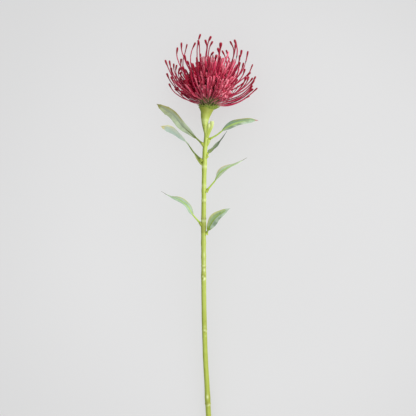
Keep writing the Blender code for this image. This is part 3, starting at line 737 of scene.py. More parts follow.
@dataclass(frozen=True)
class DownSkin:
    """Fine silky hairs on the florets, drawn thicker than real ones so that they show."""

    pale: str = "EFB4BE"
    rose: str = "C23A5C"
    roughness: float = 0.5
    gloss: float = 0.3

    def make(self) -> Finish:
        """The material: from rose at a hair's foot to pale at its tip, by the value along."""
        shade = Shade("silky_hair")
        colour = shade.mix(shade.value("along"), paint(self.rose), paint(self.pale))
        return shade.finish(colour, self.roughness, Specular_IOR_Level=self.gloss)


@dataclass(frozen=True)
class CoreSkin:
    """The crowded feet of the florets, deep in the head: painted shade in dark wine, olive low down, with lighter
    cells.
    """

    # dark, and the darker olive low down, paint the shade among the florets; wine and olive are the lighter cells.
    dark: str = "4A0818"
    wine: str = "8A1434"
    olive: str = "8A8A4A"
    painted_olive_shade: str = "5C6034"
    cell: float = 2.4 * MM
    stretch: Point = (1, 5, 1)
    roughness: float = 0.6
    relief: float = 0.4 * MM
    gloss: float = 0.2

    def make(self) -> Finish:
        """The material: cells of wine in the dark, about as wide as a floret, and of olive by the value low."""
        shade = Shade("crowded_florets")
        cells = shade.cells(shade.stretched(self.stretch), self.cell)
        fine = shade.cloud(shade.where(), self.cell / 3)
        share = shade.sum("MULTIPLY", shade.ramp(cells, 0.55, 0.15), fine)
        low = shade.value("low")
        colour = shade.mix(share, shade.mix(low, paint(self.dark), paint(self.painted_olive_shade)),
                           shade.mix(low, paint(self.wine), paint(self.olive)))
        return shade.finish(colour, self.roughness, share, self.relief, Specular_IOR_Level=self.gloss)


@dataclass(frozen=True)
class SelfLitFloor:
    """Opal acrylic that shines by itself as painted light, which lifts the shade cast on it: pale, a little cloudy,
    and painted darker away from its middle.
    """

    clear: str = "949495"
    cloudy: str = "919192"
    far: str = "7C7C7D"
    cloud: float = 0.35
    middle: Point = (0.06, 0.02, 0.0)
    painted_dimming: Span = (0.16, 0.42)
    painted_glow: float = 0.50
    roughness: float = 0.9

    def make(self) -> Finish:
        """The material: two pale greys in large clouds, the far grey as painted falloff by the distance from the
        middle, and a white shine of its own.
        """
        shade = Shade("self_lit_opal_floor")
        where = shade.where()
        cloud = shade.ramp(shade.cloud(where, self.cloud), 0.3, 0.7)
        colour = shade.mix(cloud, paint(self.clear), paint(self.cloudy))
        out = shade.add("ShaderNodeVectorMath", where, self.middle, operation="DISTANCE", out="Value")
        colour = shade.mix(shade.ramp(out, *self.painted_dimming), colour, paint(self.far))
        # The floor shines by itself: painted light that lifts the shade cast on it.
        return shade.finish(colour, self.roughness, Emission_Color=(1, 1, 1, 1), Emission_Strength=self.painted_glow)


@dataclass(frozen=True)
class Shoot:
    """A short shoot or scale on the stem: a smooth tube through its stations, in millimetres.

    A station is across, along, above and radius. rows and sides are the tube's points along and round it, and
    cut is how pale it grows towards its end, partly for the pale cut and partly as a painted highlight.
    """

    stations: Table
    rows: int
    sides: int
    cut: float


@dataclass
class Stem:
    """The stem with its neck, rings, leaf cushions and cut side shoot. Lengths are in millimetres.

    The columns of line are along and across, and those of rings and joints a swelling's place, height and width.
    olive_table and the table of pale rings say how olive and how pale the skin is along the stem; its rows on the
    neck, from 118 to 130, paint highlights. A row of marks is a mark's place along, its place aside as a share of
    the radius, its length, and how pale and how olive it is; the pale mark at -173.8 paints a highlight on a
    swelling. A row of ridges is their depth, how many there are, their wander and their turn.
    """

    line: Table = (
        (-224.4, 3.3), (-190, 1.2), (-156, -0.5), (-134, -1.8), (-103, -2.9), (-68, -3.7), (-26, -4.0),
        (6, -4.2), (36, -3.9), (64, -3.5), (84, -3.0), (99, -2.4), (108, -1.3), (114.5, -0.9), (121, -1.9),
        (126, -2.5), (131, -2.35), (135.5, -1.8), (138.8, -1.0),
    )
    foot_radius: float = 2.9
    radius: float = 2.45
    neck_start: float = 116.0
    neck_top: float = 142.8
    neck_swell: float = 1.9
    neck_flare: float = 3.9
    neck_flare_power: int = 5
    neck_end: Span = (2.4, 0.8)
    neck_aside: float = 1.6
    rings: Table = (
        (-181.5, 0.42, 1.0), (-100.1, 0.30, 0.8), (-30.3, 0.32, 0.8), (22.0, 0.30, 0.8), (41.8, 0.35, 0.8),
    )
    joints: Table = (
        (-176, 0.30, 5.0), (-40.7, 0.28, 4.0), (-19.8, 0.25, 2.5), (-5.5, 0.22, 3.0), (13.2, 0.30, 7.0),
        (52.5, 0.25, 3.0), (79.2, 0.30, 6.0), (133.5, 0.78, 6.5),
    )
    side_shoot: Shoot = Shoot((
        (-0.3, 111.5, 0.8, 1.9), (0.9, 114.8, 1.1, 1.9), (2.7, 118.9, 1.6, 1.95), (4.7, 123.2, 2.0, 2.0),
        (5.3, 128.9, 2.2, 2.2),
    ), 30, 18, 0.5)
    side_nub: Shoot = Shoot((
        (0.2, 115.0, 0.3, 2.4), (1.4, 120.0, 0.7, 2.9), (2.3, 124.0, 1.3, 2.5), (3.0, 126.4, 1.8, 1.5),
    ), 20, 16, 0.8)
    side_swell: Shoot = Shoot((
        (-1.0, 101.5, 0.3, 1.3), (0.9, 105.5, 0.6, 1.8), (2.0, 108.3, 0.7, 1.6),
    ), 20, 18, 0.2)
    side_scale: Shoot = Shoot((
        (-4.9, 80.8, -1.5, 1.3), (-7.3, 84.0, -3.2, 1.9), (-9.8, 87.3, -4.2, 1.7), (-13.6, 92.8, -4.8, 0.8),
    ), 24, 14, 0.5)
    side_bud: Shoot = Shoot((
        (-1.9, 88.2, 0.9, 1.4), (0.2, 89.6, 1.2, 1.2), (1.5, 90.8, 1.3, 0.7),
    ), 12, 14, 0.2)
    olive_table: Table = (
        (-224.4, 0.45), (-190, 0.35), (-176, 0.6), (-160, 0.25), (-104, 0.2), (-96, 0.35), (-60, 0.2),
        (-34, 0.3), (5.6, 0.3), (6.6, 0.85), (10, 0.7), (20.4, 0.5), (21, 0.95), (22.4, 0.9),
        (23.4, 0.3), (38, 0.25), (39.6, 0.6), (41, 0.1), (60, 0.05), (77, 0.1), (100, 0.0),
        (130, 0.0), (136, 0.5), (140, 0.9), (144, 1.0),
    )
    # How pale the skin is along the stem: pale rings, and from 118 to 130 on the neck painted highlights.
    pale_ring_and_highlight_table: Table = (
        (-182.5, 0.12), (-100.8, 0.12), (-30.0, 0.12), (19.6, 0.45), (41.8, 0.38), (58.3, 0.25), (79.0, 0.42),
        (118.0, 0.2), (127.0, 0.22), (130.0, 0.28),
    )
    pale_spread: float = 1.7
    marks: Table = (
        (-18, 0.2, 3.2, 0.5, 0), (-26, 0.3, 3, 0.3, 0), (-30, 0, 0.8, 0.5, 0), (-31.6, 0.1, 0.8, 0, 0.9),
        (-31.6, 0.6, 0.8, 0, 0.9), (-34.8, 0.2, 2, 0.6, 0), (-36.6, -0.35, 0.9, 0, 0.7),
        (-36.9, 0.6, 0.9, 0, 0.5), (-39.4, -0.7, 1, 0, 1), (-39.4, 0.1, 0.9, 0, 0.5), (-41.7, -0.35, 0.9, 0.5, 0),
        (-41.4, 0.5, 1, 0, 1), (-44.2, -0.55, 1.1, 0, 1.4), (-44.1, 0.35, 1.4, 1, 0), (-45.7, 0, 0.8, 0.5, 0),
        (-96.6, 0.15, 1.4, 0.3, 0), (-99.4, 0.65, 0.8, 0, 0.8), (-100.8, 0.1, 0.8, 0.6, 0),
        (-102.2, 0.7, 0.8, 0.4, 0), (-102.8, 0, 0.9, 0, 0.9), (-107.1, 0.4, 0.9, 0.25, 0),
        # The pale mark at -173.8 is a painted highlight on the swelling there.
        (-173.8, -0.08, 2, 0.9, 0), (-180.4, 0.15, 0.9, 0, 0.9), (-181.6, -0.6, 1, 0, 1.5),
        (-182.8, 0.4, 0.9, 0.5, 0), (-183.5, -0.15, 0.8, 0.35, 0),
    )
    mark_width: float = 0.36
    # A painted highlight right of the stem's middle.
    painted_sheen: float = 0.11
    # Painted shade in olive on the right of the low stem.
    low_right_painted_shade: float = 0.45
    ridges: Table = ((0.035, 5, 0.021, 0.0), (0.02, 9, -0.0483, 1.0))
    lump: float = 0.02
    rows: int = 460
    sides: int = 28
    inside: float = 0.05
    cushion_radii: Span = (2.1, 1.5)
    cushion_flare: float = 0.5
    fit_gap: float = 0.3
    cut_rings: tuple[float, ...] = (0.03, 0.25, 0.5, 0.72, 0.88, 0.97)
    cut_dome: float = 0.25
    cut_sunk: float = 0.6
    cut_sides: int = 32

    def radius_at(self, along: Array) -> Array:
        """The radius: straight from foot to neck, plus a bell for each ring and joint, plus the neck's flare.

        Args:
            along: Places along the stem.

        Returns:
            The radius at each, in millimetres.
        """
        cut = self.line[0][0]
        rise = np.minimum(1, (along - cut) / (self.neck_start - cut))
        straight = self.foot_radius + (self.radius - self.foot_radius) * rise
        swellings = bells(along, *np.array(self.rings + self.joints).T)
        share = np.maximum(0, (along - self.neck_start) / (self.neck_top - self.neck_start))
        return straight + swellings + self.neck_swell * share + self.neck_flare * share ** self.neck_flare_power

    def centre_line(self) -> tuple[Array, Array]:
        """Points along the stem's middle, on a smooth curve, and how far along each is.

        Returns:
            The path in the part's frame, ending square to the head, and the places along, in millimetres.
        """
        table = np.array(self.line)
        along = np.linspace(table[0, 0] + self.inside, table[-1, 0], self.rows)
        across = smooth_curve(table[:, 0], table[:, 1], along)
        low = LAY.place(np.stack((across, along, np.zeros_like(along)), axis=-1) * MM)
        high = SEAT.base - SEAT.axis * np.array(self.neck_end)[:, None] * MM - SEAT.right * self.neck_aside * MM
        along = np.concatenate((along, LAY.head_along / MM - np.array(self.neck_end)))
        return np.concatenate((low, high)), along

    def coat(self, along: Array, outward: Array) -> dict[str, Array]:
        """The skin's values: olive and pale by their tables, and side, which paints shade on the left.

        A mark fades as exp(-(a / length)^2 - (b / width)^2), a along and b aside from it, on the camera's side.
        The low stem gets painted shade in olive on its right, and the rest a painted highlight right of its middle.

        Args:
            along: Each row's place along the stem.
            outward: The direction out of the stem at each point.

        Returns:
            The values olive, pale and side, at each point.
        """
        aside = dot(outward, LAY.right)
        place, across, length, light, dark = np.array(self.marks).T
        far = ((along[:, None, None] - place) / length) ** 2 + ((aside - across) / self.mark_width) ** 2
        spots = np.exp(-far) * ease(dot(outward, LAY.off_table), -0.1, 0.2)
        aside = aside[..., 0]
        down = -along[:, None]
        low = ease(down, 40, 110)
        olive = np.interp(along, *np.array(self.olive_table).T)[:, None] + spots @ dark
        # Painted shade in olive on the low stem's right.
        olive = olive + self.low_right_painted_shade * low * ease(aside, 0, 0.8)
        pale = bells(along, *np.array(self.pale_ring_and_highlight_table).T, self.pale_spread)[:, None] + spots @ light
        # A painted highlight right of the middle, above the low stem.
        pale = pale + self.painted_sheen * (1 - low) * np.exp(-((aside - 0.2) / 0.4) ** 2)
        # side paints shade on the left, a little less low down.
        side = -aside * (1 - 0.2 * ease(down, 95, 140))
        return {"olive": np.clip(olive, 0, 1), "pale": np.clip(pale, 0, 1), "side": side}

    def bark(self, surfaces: Surfaces) -> None:
        """Adds the stem: its radius round its middle line, times one plus shallow ridges and lumps.

        A ridge is depth * sin(how many * angle + wander * along + turn), and the lumps are
        lump * sin(0.23 along + 2 angle) * sin(0.071 along + 1).

        Args:
            surfaces: The mesh it joins.
        """
        path, along = self.centre_line()
        angle = np.arange(self.sides) * TAU / self.sides
        far = along[:, None]
        relief = self.lump * np.sin(0.23 * far + 2 * angle) * np.sin(0.071 * far + 1)
        for depth, many, wander, turn in self.ridges:
            relief = relief + depth * np.sin(many * angle + wander * far + turn)
        radius = self.radius_at(along)[:, None] * (1 + relief) * MM
        points = rods(path[None], LAY.off_table, radius[None], self.sides)
        surfaces.add_tubes(points, **self.coat(along, unit(points[0] - path[:, None])))

    def branch(self, surfaces: Surfaces, shoot: Shoot) -> None:
        """Adds a shoot: its radius wavers by 1 + 0.04 sin(9 t) on the way t, and its end is rounded off.

        Args:
            surfaces: The mesh it joins.
            shoot: Its stations, rows and sides.
        """
        at = np.linspace(0, 1, shoot.rows)
        stations = np.array(shoot.stations)
        line = smooth_curve(chord_shares(stations[:, :3]), stations, at)
        radius = line[:, 3] * (1 + 0.04 * np.sin(9 * at)) * np.where(at > 0.985, 0.9, 1)
        path = LAY.place(line[:, :3] * MM)[None]
        points = rods(path, LAY.off_table, radius[None] * MM, shoot.sides)
        aside = dot(unit(points - path[:, :, None]), LAY.right)[..., 0]
        pale = shoot.cut * ease(at, 0.35, 1.0)[:, None]
        # pale stands for the pale cut and also paints a highlight; side paints a little shade on the left.
        surfaces.add_tubes(points, olive=0.1, pale=pale, side=-0.2 * aside)

    def cushion(self, surfaces: Surfaces, leaf: "Leaf") -> None:
        """Adds the cushion that a leaf's stalk stands on, which widens by s and s^3 on the way s to its foot.

        Args:
            surfaces: The mesh it joins.
            leaf: The leaf, whose stalk ends a gap away from it.
        """
        start, onward = leaf.spine_at(np.array([0.0, 0.04]))
        back = np.linspace(leaf.foot, self.fit_gap, 12)
        path = start - unit(onward - start) * back[:, None] * MM
        share = (back - self.fit_gap) / (leaf.foot - self.fit_gap)
        foot, top = self.cushion_radii
        radius = top + (foot - top) * share + self.cushion_flare * share ** 3
        radius = radius * np.where(back <= self.fit_gap, 0.85, 1)
        points = rods(path[None], LAY.off_table, radius[None] * MM, 16)
        # The cushions take a fixed 0.55 of the value side's deeper green.
        surfaces.add_tubes(points, olive=0.6 * (1 - share)[None, :, None], side=0.55)

    def cut_face(self) -> Piece:
        """The fresh cut at the stem's foot: rings of points on a dome -d (1 - r^2), with a rim sunk in the stem."""
        path, along = self.centre_line()
        ahead = unit(path[1] - path[0])
        side = unit(LAY.off_table - ahead * dot(ahead, LAY.off_table))
        face = np.cross(ahead, side)
        rings = np.array(self.cut_rings)
        rise = np.append(-self.cut_dome * (1 - rings ** 2), self.cut_sunk) * MM
        rings = np.append(rings, rings[-1])
        angle = np.arange(self.cut_sides)[:, None] * TAU / self.cut_sides
        spokes = (side * np.cos(angle) + face * np.sin(angle)) * self.radius_at(along[:1]) * MM
        points = path[0] + ahead * rise[:, None, None] + spokes * rings[:, None, None]
        surfaces = Surfaces("out")
        surfaces.add_tubes(points[None], out=rings[None, :, None])
        return surfaces.build("stem_cut_face", CutWood().make())

    def build(self, leaves: Sequence["Leaf"]) -> None:
        """Builds and dresses the stem and its cut face.

        Args:
            leaves: The leaves, of which each stands on a cushion of the stem.
        """
        surfaces = Surfaces("olive", "pale", "side")
        self.bark(surfaces)
        for shoot in (self.side_shoot, self.side_nub, self.side_swell, self.side_scale, self.side_bud):
            self.branch(surfaces, shoot)
        for leaf in leaves:
            self.cushion(surfaces, leaf)
        fit_piece(surfaces.build("stem_skin", StemSkin().make()), Slot.STEM, ["stem"])
        fit_piece(self.cut_face(), Slot.STEM)


@dataclass(frozen=True)
class Leaf:
    """One leaf: its stalk and midrib along a spine, and a folded, waved blade. Lengths are in millimetres."""

    name: str
    spine: tuple[Point, ...]
    width: float
    stalk: float
    widest: float
    point: float
    roll: Span
    foot: float
    skin: LeafSkin
    straight: bool = False
    teeth: bool = False
    fold: float = math.radians(14)
    wave: float = 0.7
    waves: float = 2.3
    thickness: float = 0.62
    end_widths: Span = (0.8, 0.55)
    arch: float = 0.05
    vein_height: float = 0.09
    tooth: float = 0.5
    tooth_places: Span = (0.77, 0.92)
    rib_radii: Span = (0.95, 0.32)
    rib_end: float = 0.93
    rib_flare: float = 0.35
    rows: int = 90
    half_sides: int = 13

    def spine_at(self, t: Array) -> Array:
        """Points on the spine at shares of its length, in the part's frame."""
        return smooth_line(LAY.place(np.array(self.spine) * MM), t)

    def directions(self, t: Array) -> tuple[Array, Array]:
        """The blade's directions: sideways and facing.

        Args:
            t: Shares of the spine's length.

        Returns:
            Unit vectors across the blade and out of its face, which is turned from off the table to up the stem.
        """
        ahead = unit(self.spine_at(np.minimum(1, t + 0.02)) - self.spine_at(np.maximum(0, t - 0.02)))
        off = unit(LAY.off_table - ahead * dot(ahead, LAY.off_table))
        up = np.cross(off, ahead)
        up = up * np.sign(dot(up, LAY.up_stem))
        angle = np.radians(self.roll[0] + (self.roll[1] - self.roll[0]) * t)[:, None]
        facing = off * np.cos(angle) + up * np.sin(angle)
        return np.cross(facing, ahead), facing

    def half_width(self, t: Array) -> Array:
        """Half the blade's width: a lens (s / b)^(pb) * ((1 - s) / (1 - b))^(p(1 - b)), widest at b.

        A straight tip is the parabola 1 - ((s - b) / (1 - b))^2 instead, beyond b. A tooth is a narrow bell.

        Args:
            t: Shares of the spine's length.

        Returns:
            Half the width at each, in millimetres.
        """
        share = np.clip((t - self.stalk) / (1 - self.stalk), 1e-4, 1 - 1e-4)
        b, p = self.widest, self.point
        lens = (share / b) ** (p * b) * ((1 - share) / (1 - b)) ** (p * (1 - b))
        if self.straight:
            lens = np.where(share > b, 1 - ((share - b) / (1 - b)) ** 2, lens)
        start, tip = self.end_widths
        half = np.maximum(self.width * lens, start + (tip - start) * share) / 2
        if self.teeth:
            half = half + bells(share, self.tooth_places, np.full(len(self.tooth_places), self.tooth), 0.02)
        return half

    def blade(self, surfaces: Surfaces) -> None:
        """Adds the blade: each row runs back along the face and forth along the underside.

        A point stands sideways by across * half * cos(fold), and faces out by |across| * half * sin(fold), plus
        the wave, an arch of each half, low side veins and half the thickness, which thins to the margin.

        Args:
            surfaces: The mesh it joins.
        """
        t = np.linspace(max(self.stalk - 0.02, 0.03), 1, self.rows)
        face = np.linspace(1, -1, self.half_sides)
        across = np.concatenate((face, face[-2:0:-1]))[None]
        over = np.concatenate((np.ones(self.half_sides), -np.ones(self.half_sides - 2)))[None]
        out = np.abs(across)
        arched = np.sin(math.pi * out)
        half = self.half_width(t)[:, None]
        broad = np.minimum(1, half / 3)
        wave = self.wave * np.sin(TAU * self.waves * t[:, None] + across) * out ** 2 * broad
        slant = self.skin.veins * t[:, None] - self.skin.vein_slant * out
        veins = self.vein_height * np.cos(TAU * slant) * broad * arched
        thick = self.thickness * (1 - 0.75 * out ** 2) * np.minimum(1, 0.4 + half / 2.5) / 2
        thick = thick * np.sqrt(np.clip((1 - out) * 12, 0, 1))
        lift = out * half * math.sin(self.fold) + wave + self.arch * half * arched + veins + over * thick
        reach = across * half * math.cos(self.fold)
        sideways, facing = self.directions(t)
        points = (self.spine_at(t)[:, None] + sideways[:, None] * (reach * MM)[..., None]
                  + facing[:, None] * (lift * MM)[..., None])
        surfaces.add_tubes(points[None], across=across, along=t[None, :, None])

    def rib(self, surfaces: Surfaces) -> None:
        """Adds the stalk and midrib: a tube that thins along the spine, with a bell's flare at its foot.

        Args:
            surfaces: The mesh it joins.
        """
        t = np.linspace(0, self.rib_end, 60)
        foot, end = self.rib_radii
        radius = (foot + (end - foot) * t / self.rib_end) * (1 + self.rib_flare * np.exp(-(t / 0.03) ** 2))
        points = rods(self.spine_at(t)[None], LAY.off_table, radius[None] * MM, 10)
        surfaces.add_tubes(points, along=t[None, :, None], rib=1.0)

    def build(self) -> None:
        """Builds and dresses the leaf."""
        surfaces = Surfaces("across", "along", "rib")
        self.blade(surfaces)
        self.rib(surfaces)
        fit_piece(surfaces.build(f"{self.name}_blade", self.skin.make(self.name)), Slot.LEAF, [self.name])


LEAVES = (
    Leaf("leaf_1", ((-6.8, 105.5, 0.8), (-17.7, 115.3, 5.0), (-25.7, 122.2, 7.5), (-37.9, 136.3, 9.5),
               (-46.8, 142.0, 9.0), (-55.4, 147.6, 7.0)),
         width=11.7, stalk=0.10, widest=0.60, point=1.05, roll=(-36, -28), foot=4.6,
         skin=LeafSkin(
             minus_half="AAB896", plus_half="B8C8A2", deep="909F86", midrib="94A08C", midrib_width=0.16,
             stalk="66761E", margin="9A944A", margin_width=0.65, margin_side=-1, margin_start=0.4,
             tip="8A8A42", tip_start=0.95, wash=0.5, spots=0.7),
         straight=True, teeth=True),
    Leaf("leaf_2", ((-8.2, 88.0, -0.8), (-14.9, 94.9, -2.5), (-22.0, 105.0, -4.5), (-30.1, 113.5, -6.5),
               (-41.1, 121.2, -8.0), (-51.6, 124.0, -9.0)),
         width=9.8, stalk=0.41, widest=0.60, point=1.5, roll=(-46, -40), foot=4.6,
         skin=LeafSkin(
             minus_half="C6D2C2", plus_half="BCD0C2", deep="A9BFAC", midrib="C4D4B8", stalk="62762A",
             margin="DEDC9C", margin_width=0.65, margin_side=-1, margin_start=0.62, tip="DAD498",
             tip_start=0.95),
         straight=True, teeth=True),
    Leaf("leaf_3", ((3.9, 110.1, 0.8), (9.2, 112.9, 2.2), (20.5, 121.0, 5.0), (31.6, 125.7, 7.0),
               (42.2, 128.4, 7.2), (55.8, 129.6, 5.0)),
         width=10.8, stalk=0.23, widest=0.47, point=2.0, roll=(38, 42), foot=4.2,
         skin=LeafSkin(
             minus_half="B4C8B0", plus_half="7C967C", deep="688468", midrib="AACC6C", midrib_width=0.42,
             margin="9CA054", margin_width=0.6, margin_start=0.45, tip="A05650", tip_start=0.975, far_rib=0.3,
             mottle=(0.35, 0.55))),
    # leaf_4's skin is painted darker than the other leaves' for the shade that it lies in.
    Leaf("leaf_4", ((0.9, 94.0, -2.6), (5.7, 98.2, -7.0), (9.9, 102.6, -12.0), (14.4, 108.1, -17.5),
               (22.1, 119.5, -24.0)),
         width=5.6, stalk=0.02, widest=0.18, point=1.2, roll=(36, 62), foot=4.2,
         skin=LeafSkin(
             minus_half="6C7E68", plus_half="95A890", deep="50644E", midrib="6E8468", midrib_width=0.12,
             stalk="7C8E54", margin="8E9C70", tip="74827A", tip_start=0.8)),
    Leaf("leaf_5", ((1.2, 54.7, 0.8), (8.6, 63.6, 3.2), (13.9, 71.4, 6.0), (22.8, 77.5, 8.5),
               (32.8, 82.5, 9.5), (43.6, 88.6, 9.0)),
         width=10.2, stalk=0.17, widest=0.36, point=3.4, roll=(48, 58), foot=4.0,
         skin=LeafSkin(
             minus_half="C2D4B0", plus_half="B4C8B4", deep="A0B892", midrib="A6CC60", midrib_width=0.36,
             margin="CBC08C", margin_width=0.5, tip="8A8E78", tip_start=0.92, far_rib=0.5)),
    Leaf("leaf_6", ((-8.7, 18.0, 0.6), (-16.6, 27.0, 2.6), (-21.9, 35.4, 4.2), (-31.9, 42.6, 4.6),
               (-40.5, 46.1, 3.4), (-50.7, 51.9, 1.0)),
         width=10.8, stalk=0.17, widest=0.32, point=3.3, roll=(46, 56), foot=4.2,
         skin=LeafSkin(
             minus_half="90A48C", plus_half="9AB098", deep="7E9478", midrib="84A84A", midrib_width=0.3,
             margin="A8AA66", margin_width=0.4, margin_side=-1, tip="82887A", tip_start=0.9, far_rib=0.5)),
    Leaf("leaf_7", ((-0.3, 6.9, 1.0), (3.5, 14.4, 4.8), (8.8, 22.2, 9.5), (15.0, 27.2, 13.0),
                    (25.0, 33.2, 16.0)),
         width=11.6, stalk=0.04, widest=0.44, point=1.9, roll=(8, 30), foot=2.2,
         skin=LeafSkin(
             minus_half="AEC2A8", plus_half="92AE78", deep="5F7C5C", midrib="8CAC3C", midrib_width=0.18,
             stalk="849C30", margin="BCC07E", margin_width=0.7, margin_start=0.0, tip="AEBEA8",
             mottle=(0.45, 0.62))),
)


# The styles that stand clear of the others: across and along halfway, nearer the end and at the end, in
# millimetres as the camera sees them, how far the end leans off the table, and how thick it is.
CLEAR_STYLES = (
    (-30.3, 190.9, -33.5, 201.5, -32.7, 210.3, -0.5, 1),
    (-24.9, 196.9, -28.2, 207.2, -28.4, 215.6, 0.3, 1),
    (-27.1, 193.6, -24, 206, -22.1, 214, -0.2, 0.8),
    (-19.4, 184.8, -22.7, 193.6, -25.4, 202.1, 0.75, 1.15),
    (-27.7, 182.6, -29.1, 191.4, -28.7, 197.8, 0.6, 1),
    (-18.5, 194.7, -17.4, 205.5, -13, 215.6, 0.35, 0.95),
    (-11.3, 203.8, -10.4, 215.1, -7.4, 225, 0, 1),
    (-8.2, 199.2, -8.5, 209.5, -10, 218.3, 0.45, 1.15),
    (-1.6, 202.6, -0.4, 211.2, -2.3, 218.8, 0.5, 1.15),
    (-0.4, 206, 0.9, 215.1, 4.2, 222.6, -0.2, 1.15),
    (1.2, 202.6, 2.7, 210.6, 6, 217.1, 0.3, 1.1),
    (3, 195.8, 4.5, 202.4, 6.9, 205.1, 0.95, 1),
    (12.8, 198.1, 14.1, 207.2, 15, 215.6, 0.7, 1.45),
    (13.5, 194.7, 13.3, 202.6, 11.7, 209.5, 0.85, 1.25),
    (21.6, 191.4, 20, 199.2, 16.3, 206.7, 0.6, 1),
    (24.9, 192.5, 23.3, 199.2, 20.9, 207.2, -0.6, 1.05),
    (28.6, 198.1, 29, 208.3, 25.1, 217.1, -0.3, 0.95),
    (31.5, 195.8, 33.1, 207.2, 30, 218.8, 0.1, 1.15),
    (27.1, 194.7, 29.8, 203.8, 31.2, 214, 0.5, 1.05),
    (34.1, 192, 36.5, 199.8, 37.9, 207.5, 0, 1.1),
    (32.6, 187, 34.8, 194.7, 36.1, 202.1, 0.55, 1),
    (40, 187, 43, 196.9, 44.8, 206.2, 0.15, 0.95),
    (33.2, 177.1, 37.6, 185.4, 40.1, 193.3, 0.6, 1.05),
    (43.5, 176, 47.3, 184.8, 50, 191.6, -0.2, 0.8),
    (33.2, 171.1, 41.3, 177.3, 47.7, 182.9, 0.35, 1.15),
    (44.1, 166.1, 50.5, 173.2, 53.3, 178.4, -0.1, 0.95),
    (38.7, 165, 45.7, 171.1, 50.2, 176.8, 0.3, 1),
    (37.6, 164.5, 43.2, 171.6, 45.8, 177.9, -0.5, 1),
    (34.3, 162.8, 39.9, 170.5, 42.6, 177.7, 0.6, 1.1),
    (39.7, 159.5, 47.5, 167.2, 51.8, 174.4, 0, 0.95),
    (36.5, 155.1, 44.6, 161.7, 49.9, 168.3, 0.3, 1.05),
    (28.8, 158.4, 35.4, 164.5, 40, 171.3, 0.7, 1),
    (32.1, 149.1, 45.2, 156.8, 55.2, 165.6, 0, 0.8),
    (28.8, 152.4, 39.7, 157.3, 49.1, 165.2, -0.4, 1),
    (-36.4, 174.9, -42.4, 186.5, -46.3, 196.4, 0, 1),
    (-34.7, 176, -40.2, 188.1, -41.7, 195.8, -0.3, 0.95),
    (-31.4, 168.3, -38.1, 179.3, -40, 188.1, 0.35, 1.1),
    (-32, 174.9, -36.5, 184.8, -36.9, 192.5, 0.45, 0.95),
    (-30.9, 173.8, -34.7, 183.7, -33.6, 190.9, -0.5, 1),
    (-33.6, 164.5, -41.5, 174.6, -44.6, 181.9, 0, 1),
    (-28.2, 155.2, -37.8, 162.7, -42.2, 170.5, 0.1, 0.95),
    (-27.1, 159.5, -35.3, 168.3, -40, 178.2, 0.4, 1.1),
    (-24.9, 161.2, -31.4, 169.4, -35.8, 178.8, 0.6, 1.05),
)

# Listed in the same way: styles in the thick of the head that show among the others.
INNER_STYLES = (
    (35.2, 173.7, 39.4, 180.1, 41.5, 186.7, 0.4, 1.1),
    (22.0, 145.9, 35.0, 150.1, 46.5, 157.2, 0, 0.95),
    (-12.0, 148.6, -25.0, 154.5, -35.5, 164.8, 0.1, 0.95),
    (-29.8, 175.0, -31.9, 181.6, -29.5, 188.0, 0.5, 1.2),
    (-21.1, 176.4, -24.9, 183.4, -27.3, 189.0, 0.8, 1.2),
    (-26.5, 172.0, -29.2, 178.5, -29.0, 183.5, 0.2, 1),
    (8.0, 193.0, 9.1, 198.0, 10.2, 201.8, 0.9, 1.35),
    (12.0, 190.5, 13.4, 196.5, 13.9, 200.3, 1, 1.3),
    (-15.5, 178.0, -19.0, 188.0, -21.8, 195.2, 0.8, 1.1),
    (32.8, 178.5, 34.4, 186.5, 36.0, 194.0, 0.6, 1.0),
    (-13.0, 150.0, -24.0, 156.4, -33.5, 166.6, 0.3, 0.95),
    (25.5, 148.9, 38.4, 154.6, 50.6, 164.6, -0.2, 0.95),
    (-11.4, 150.2, -19.5, 153.4, -29.0, 160.0, 0.3, 0.9),
)


@dataclass(frozen=True)
class Receptacle:
    """The rounded end of the stem that the florets stand on, from share 0, its rim, to share 1, its top."""

    low: float = 3.0 * MM
    high: float = 25.0 * MM
    radius: float = 6.8 * MM

    def foot(self, share: Array) -> tuple[Array, Array]:
        """A floret's radius r * sqrt(1 - share^2) and height about the head's axis, at each share."""
        return self.radius * np.sqrt(1 - share * share), self.low + (self.high - self.low) * share


RECEPTACLE = Receptacle()


@dataclass(frozen=True)
class Habit:
    """How styles grow. A pair is for the lowest row of florets and for the top, and angles are in degrees."""

    leaving: Span = (83, 12)
    bend: Span = (48, 8)
    middle_bend: float = 100
    bend_power: Span = (1.9, 1.2)
    length: float = 49.2 * MM
    middle_length: float = 12.0 * MM
    longer_right: float = 0.03
    steps: int = 40


def read_rows(table: Array, place: Array) -> Array:
    """Values of a table on straight lines between its columns.

    Args:
        table: Rows of values.
        place: For each row, places counted in columns.

    Returns:
        The values at those places.
    """
    column = np.minimum(place.astype(int), table.shape[1] - 2)
    rest = place - column
    return np.take_along_axis(table, column, 1) * (1 - rest) + np.take_along_axis(table, column + 1, 1) * rest


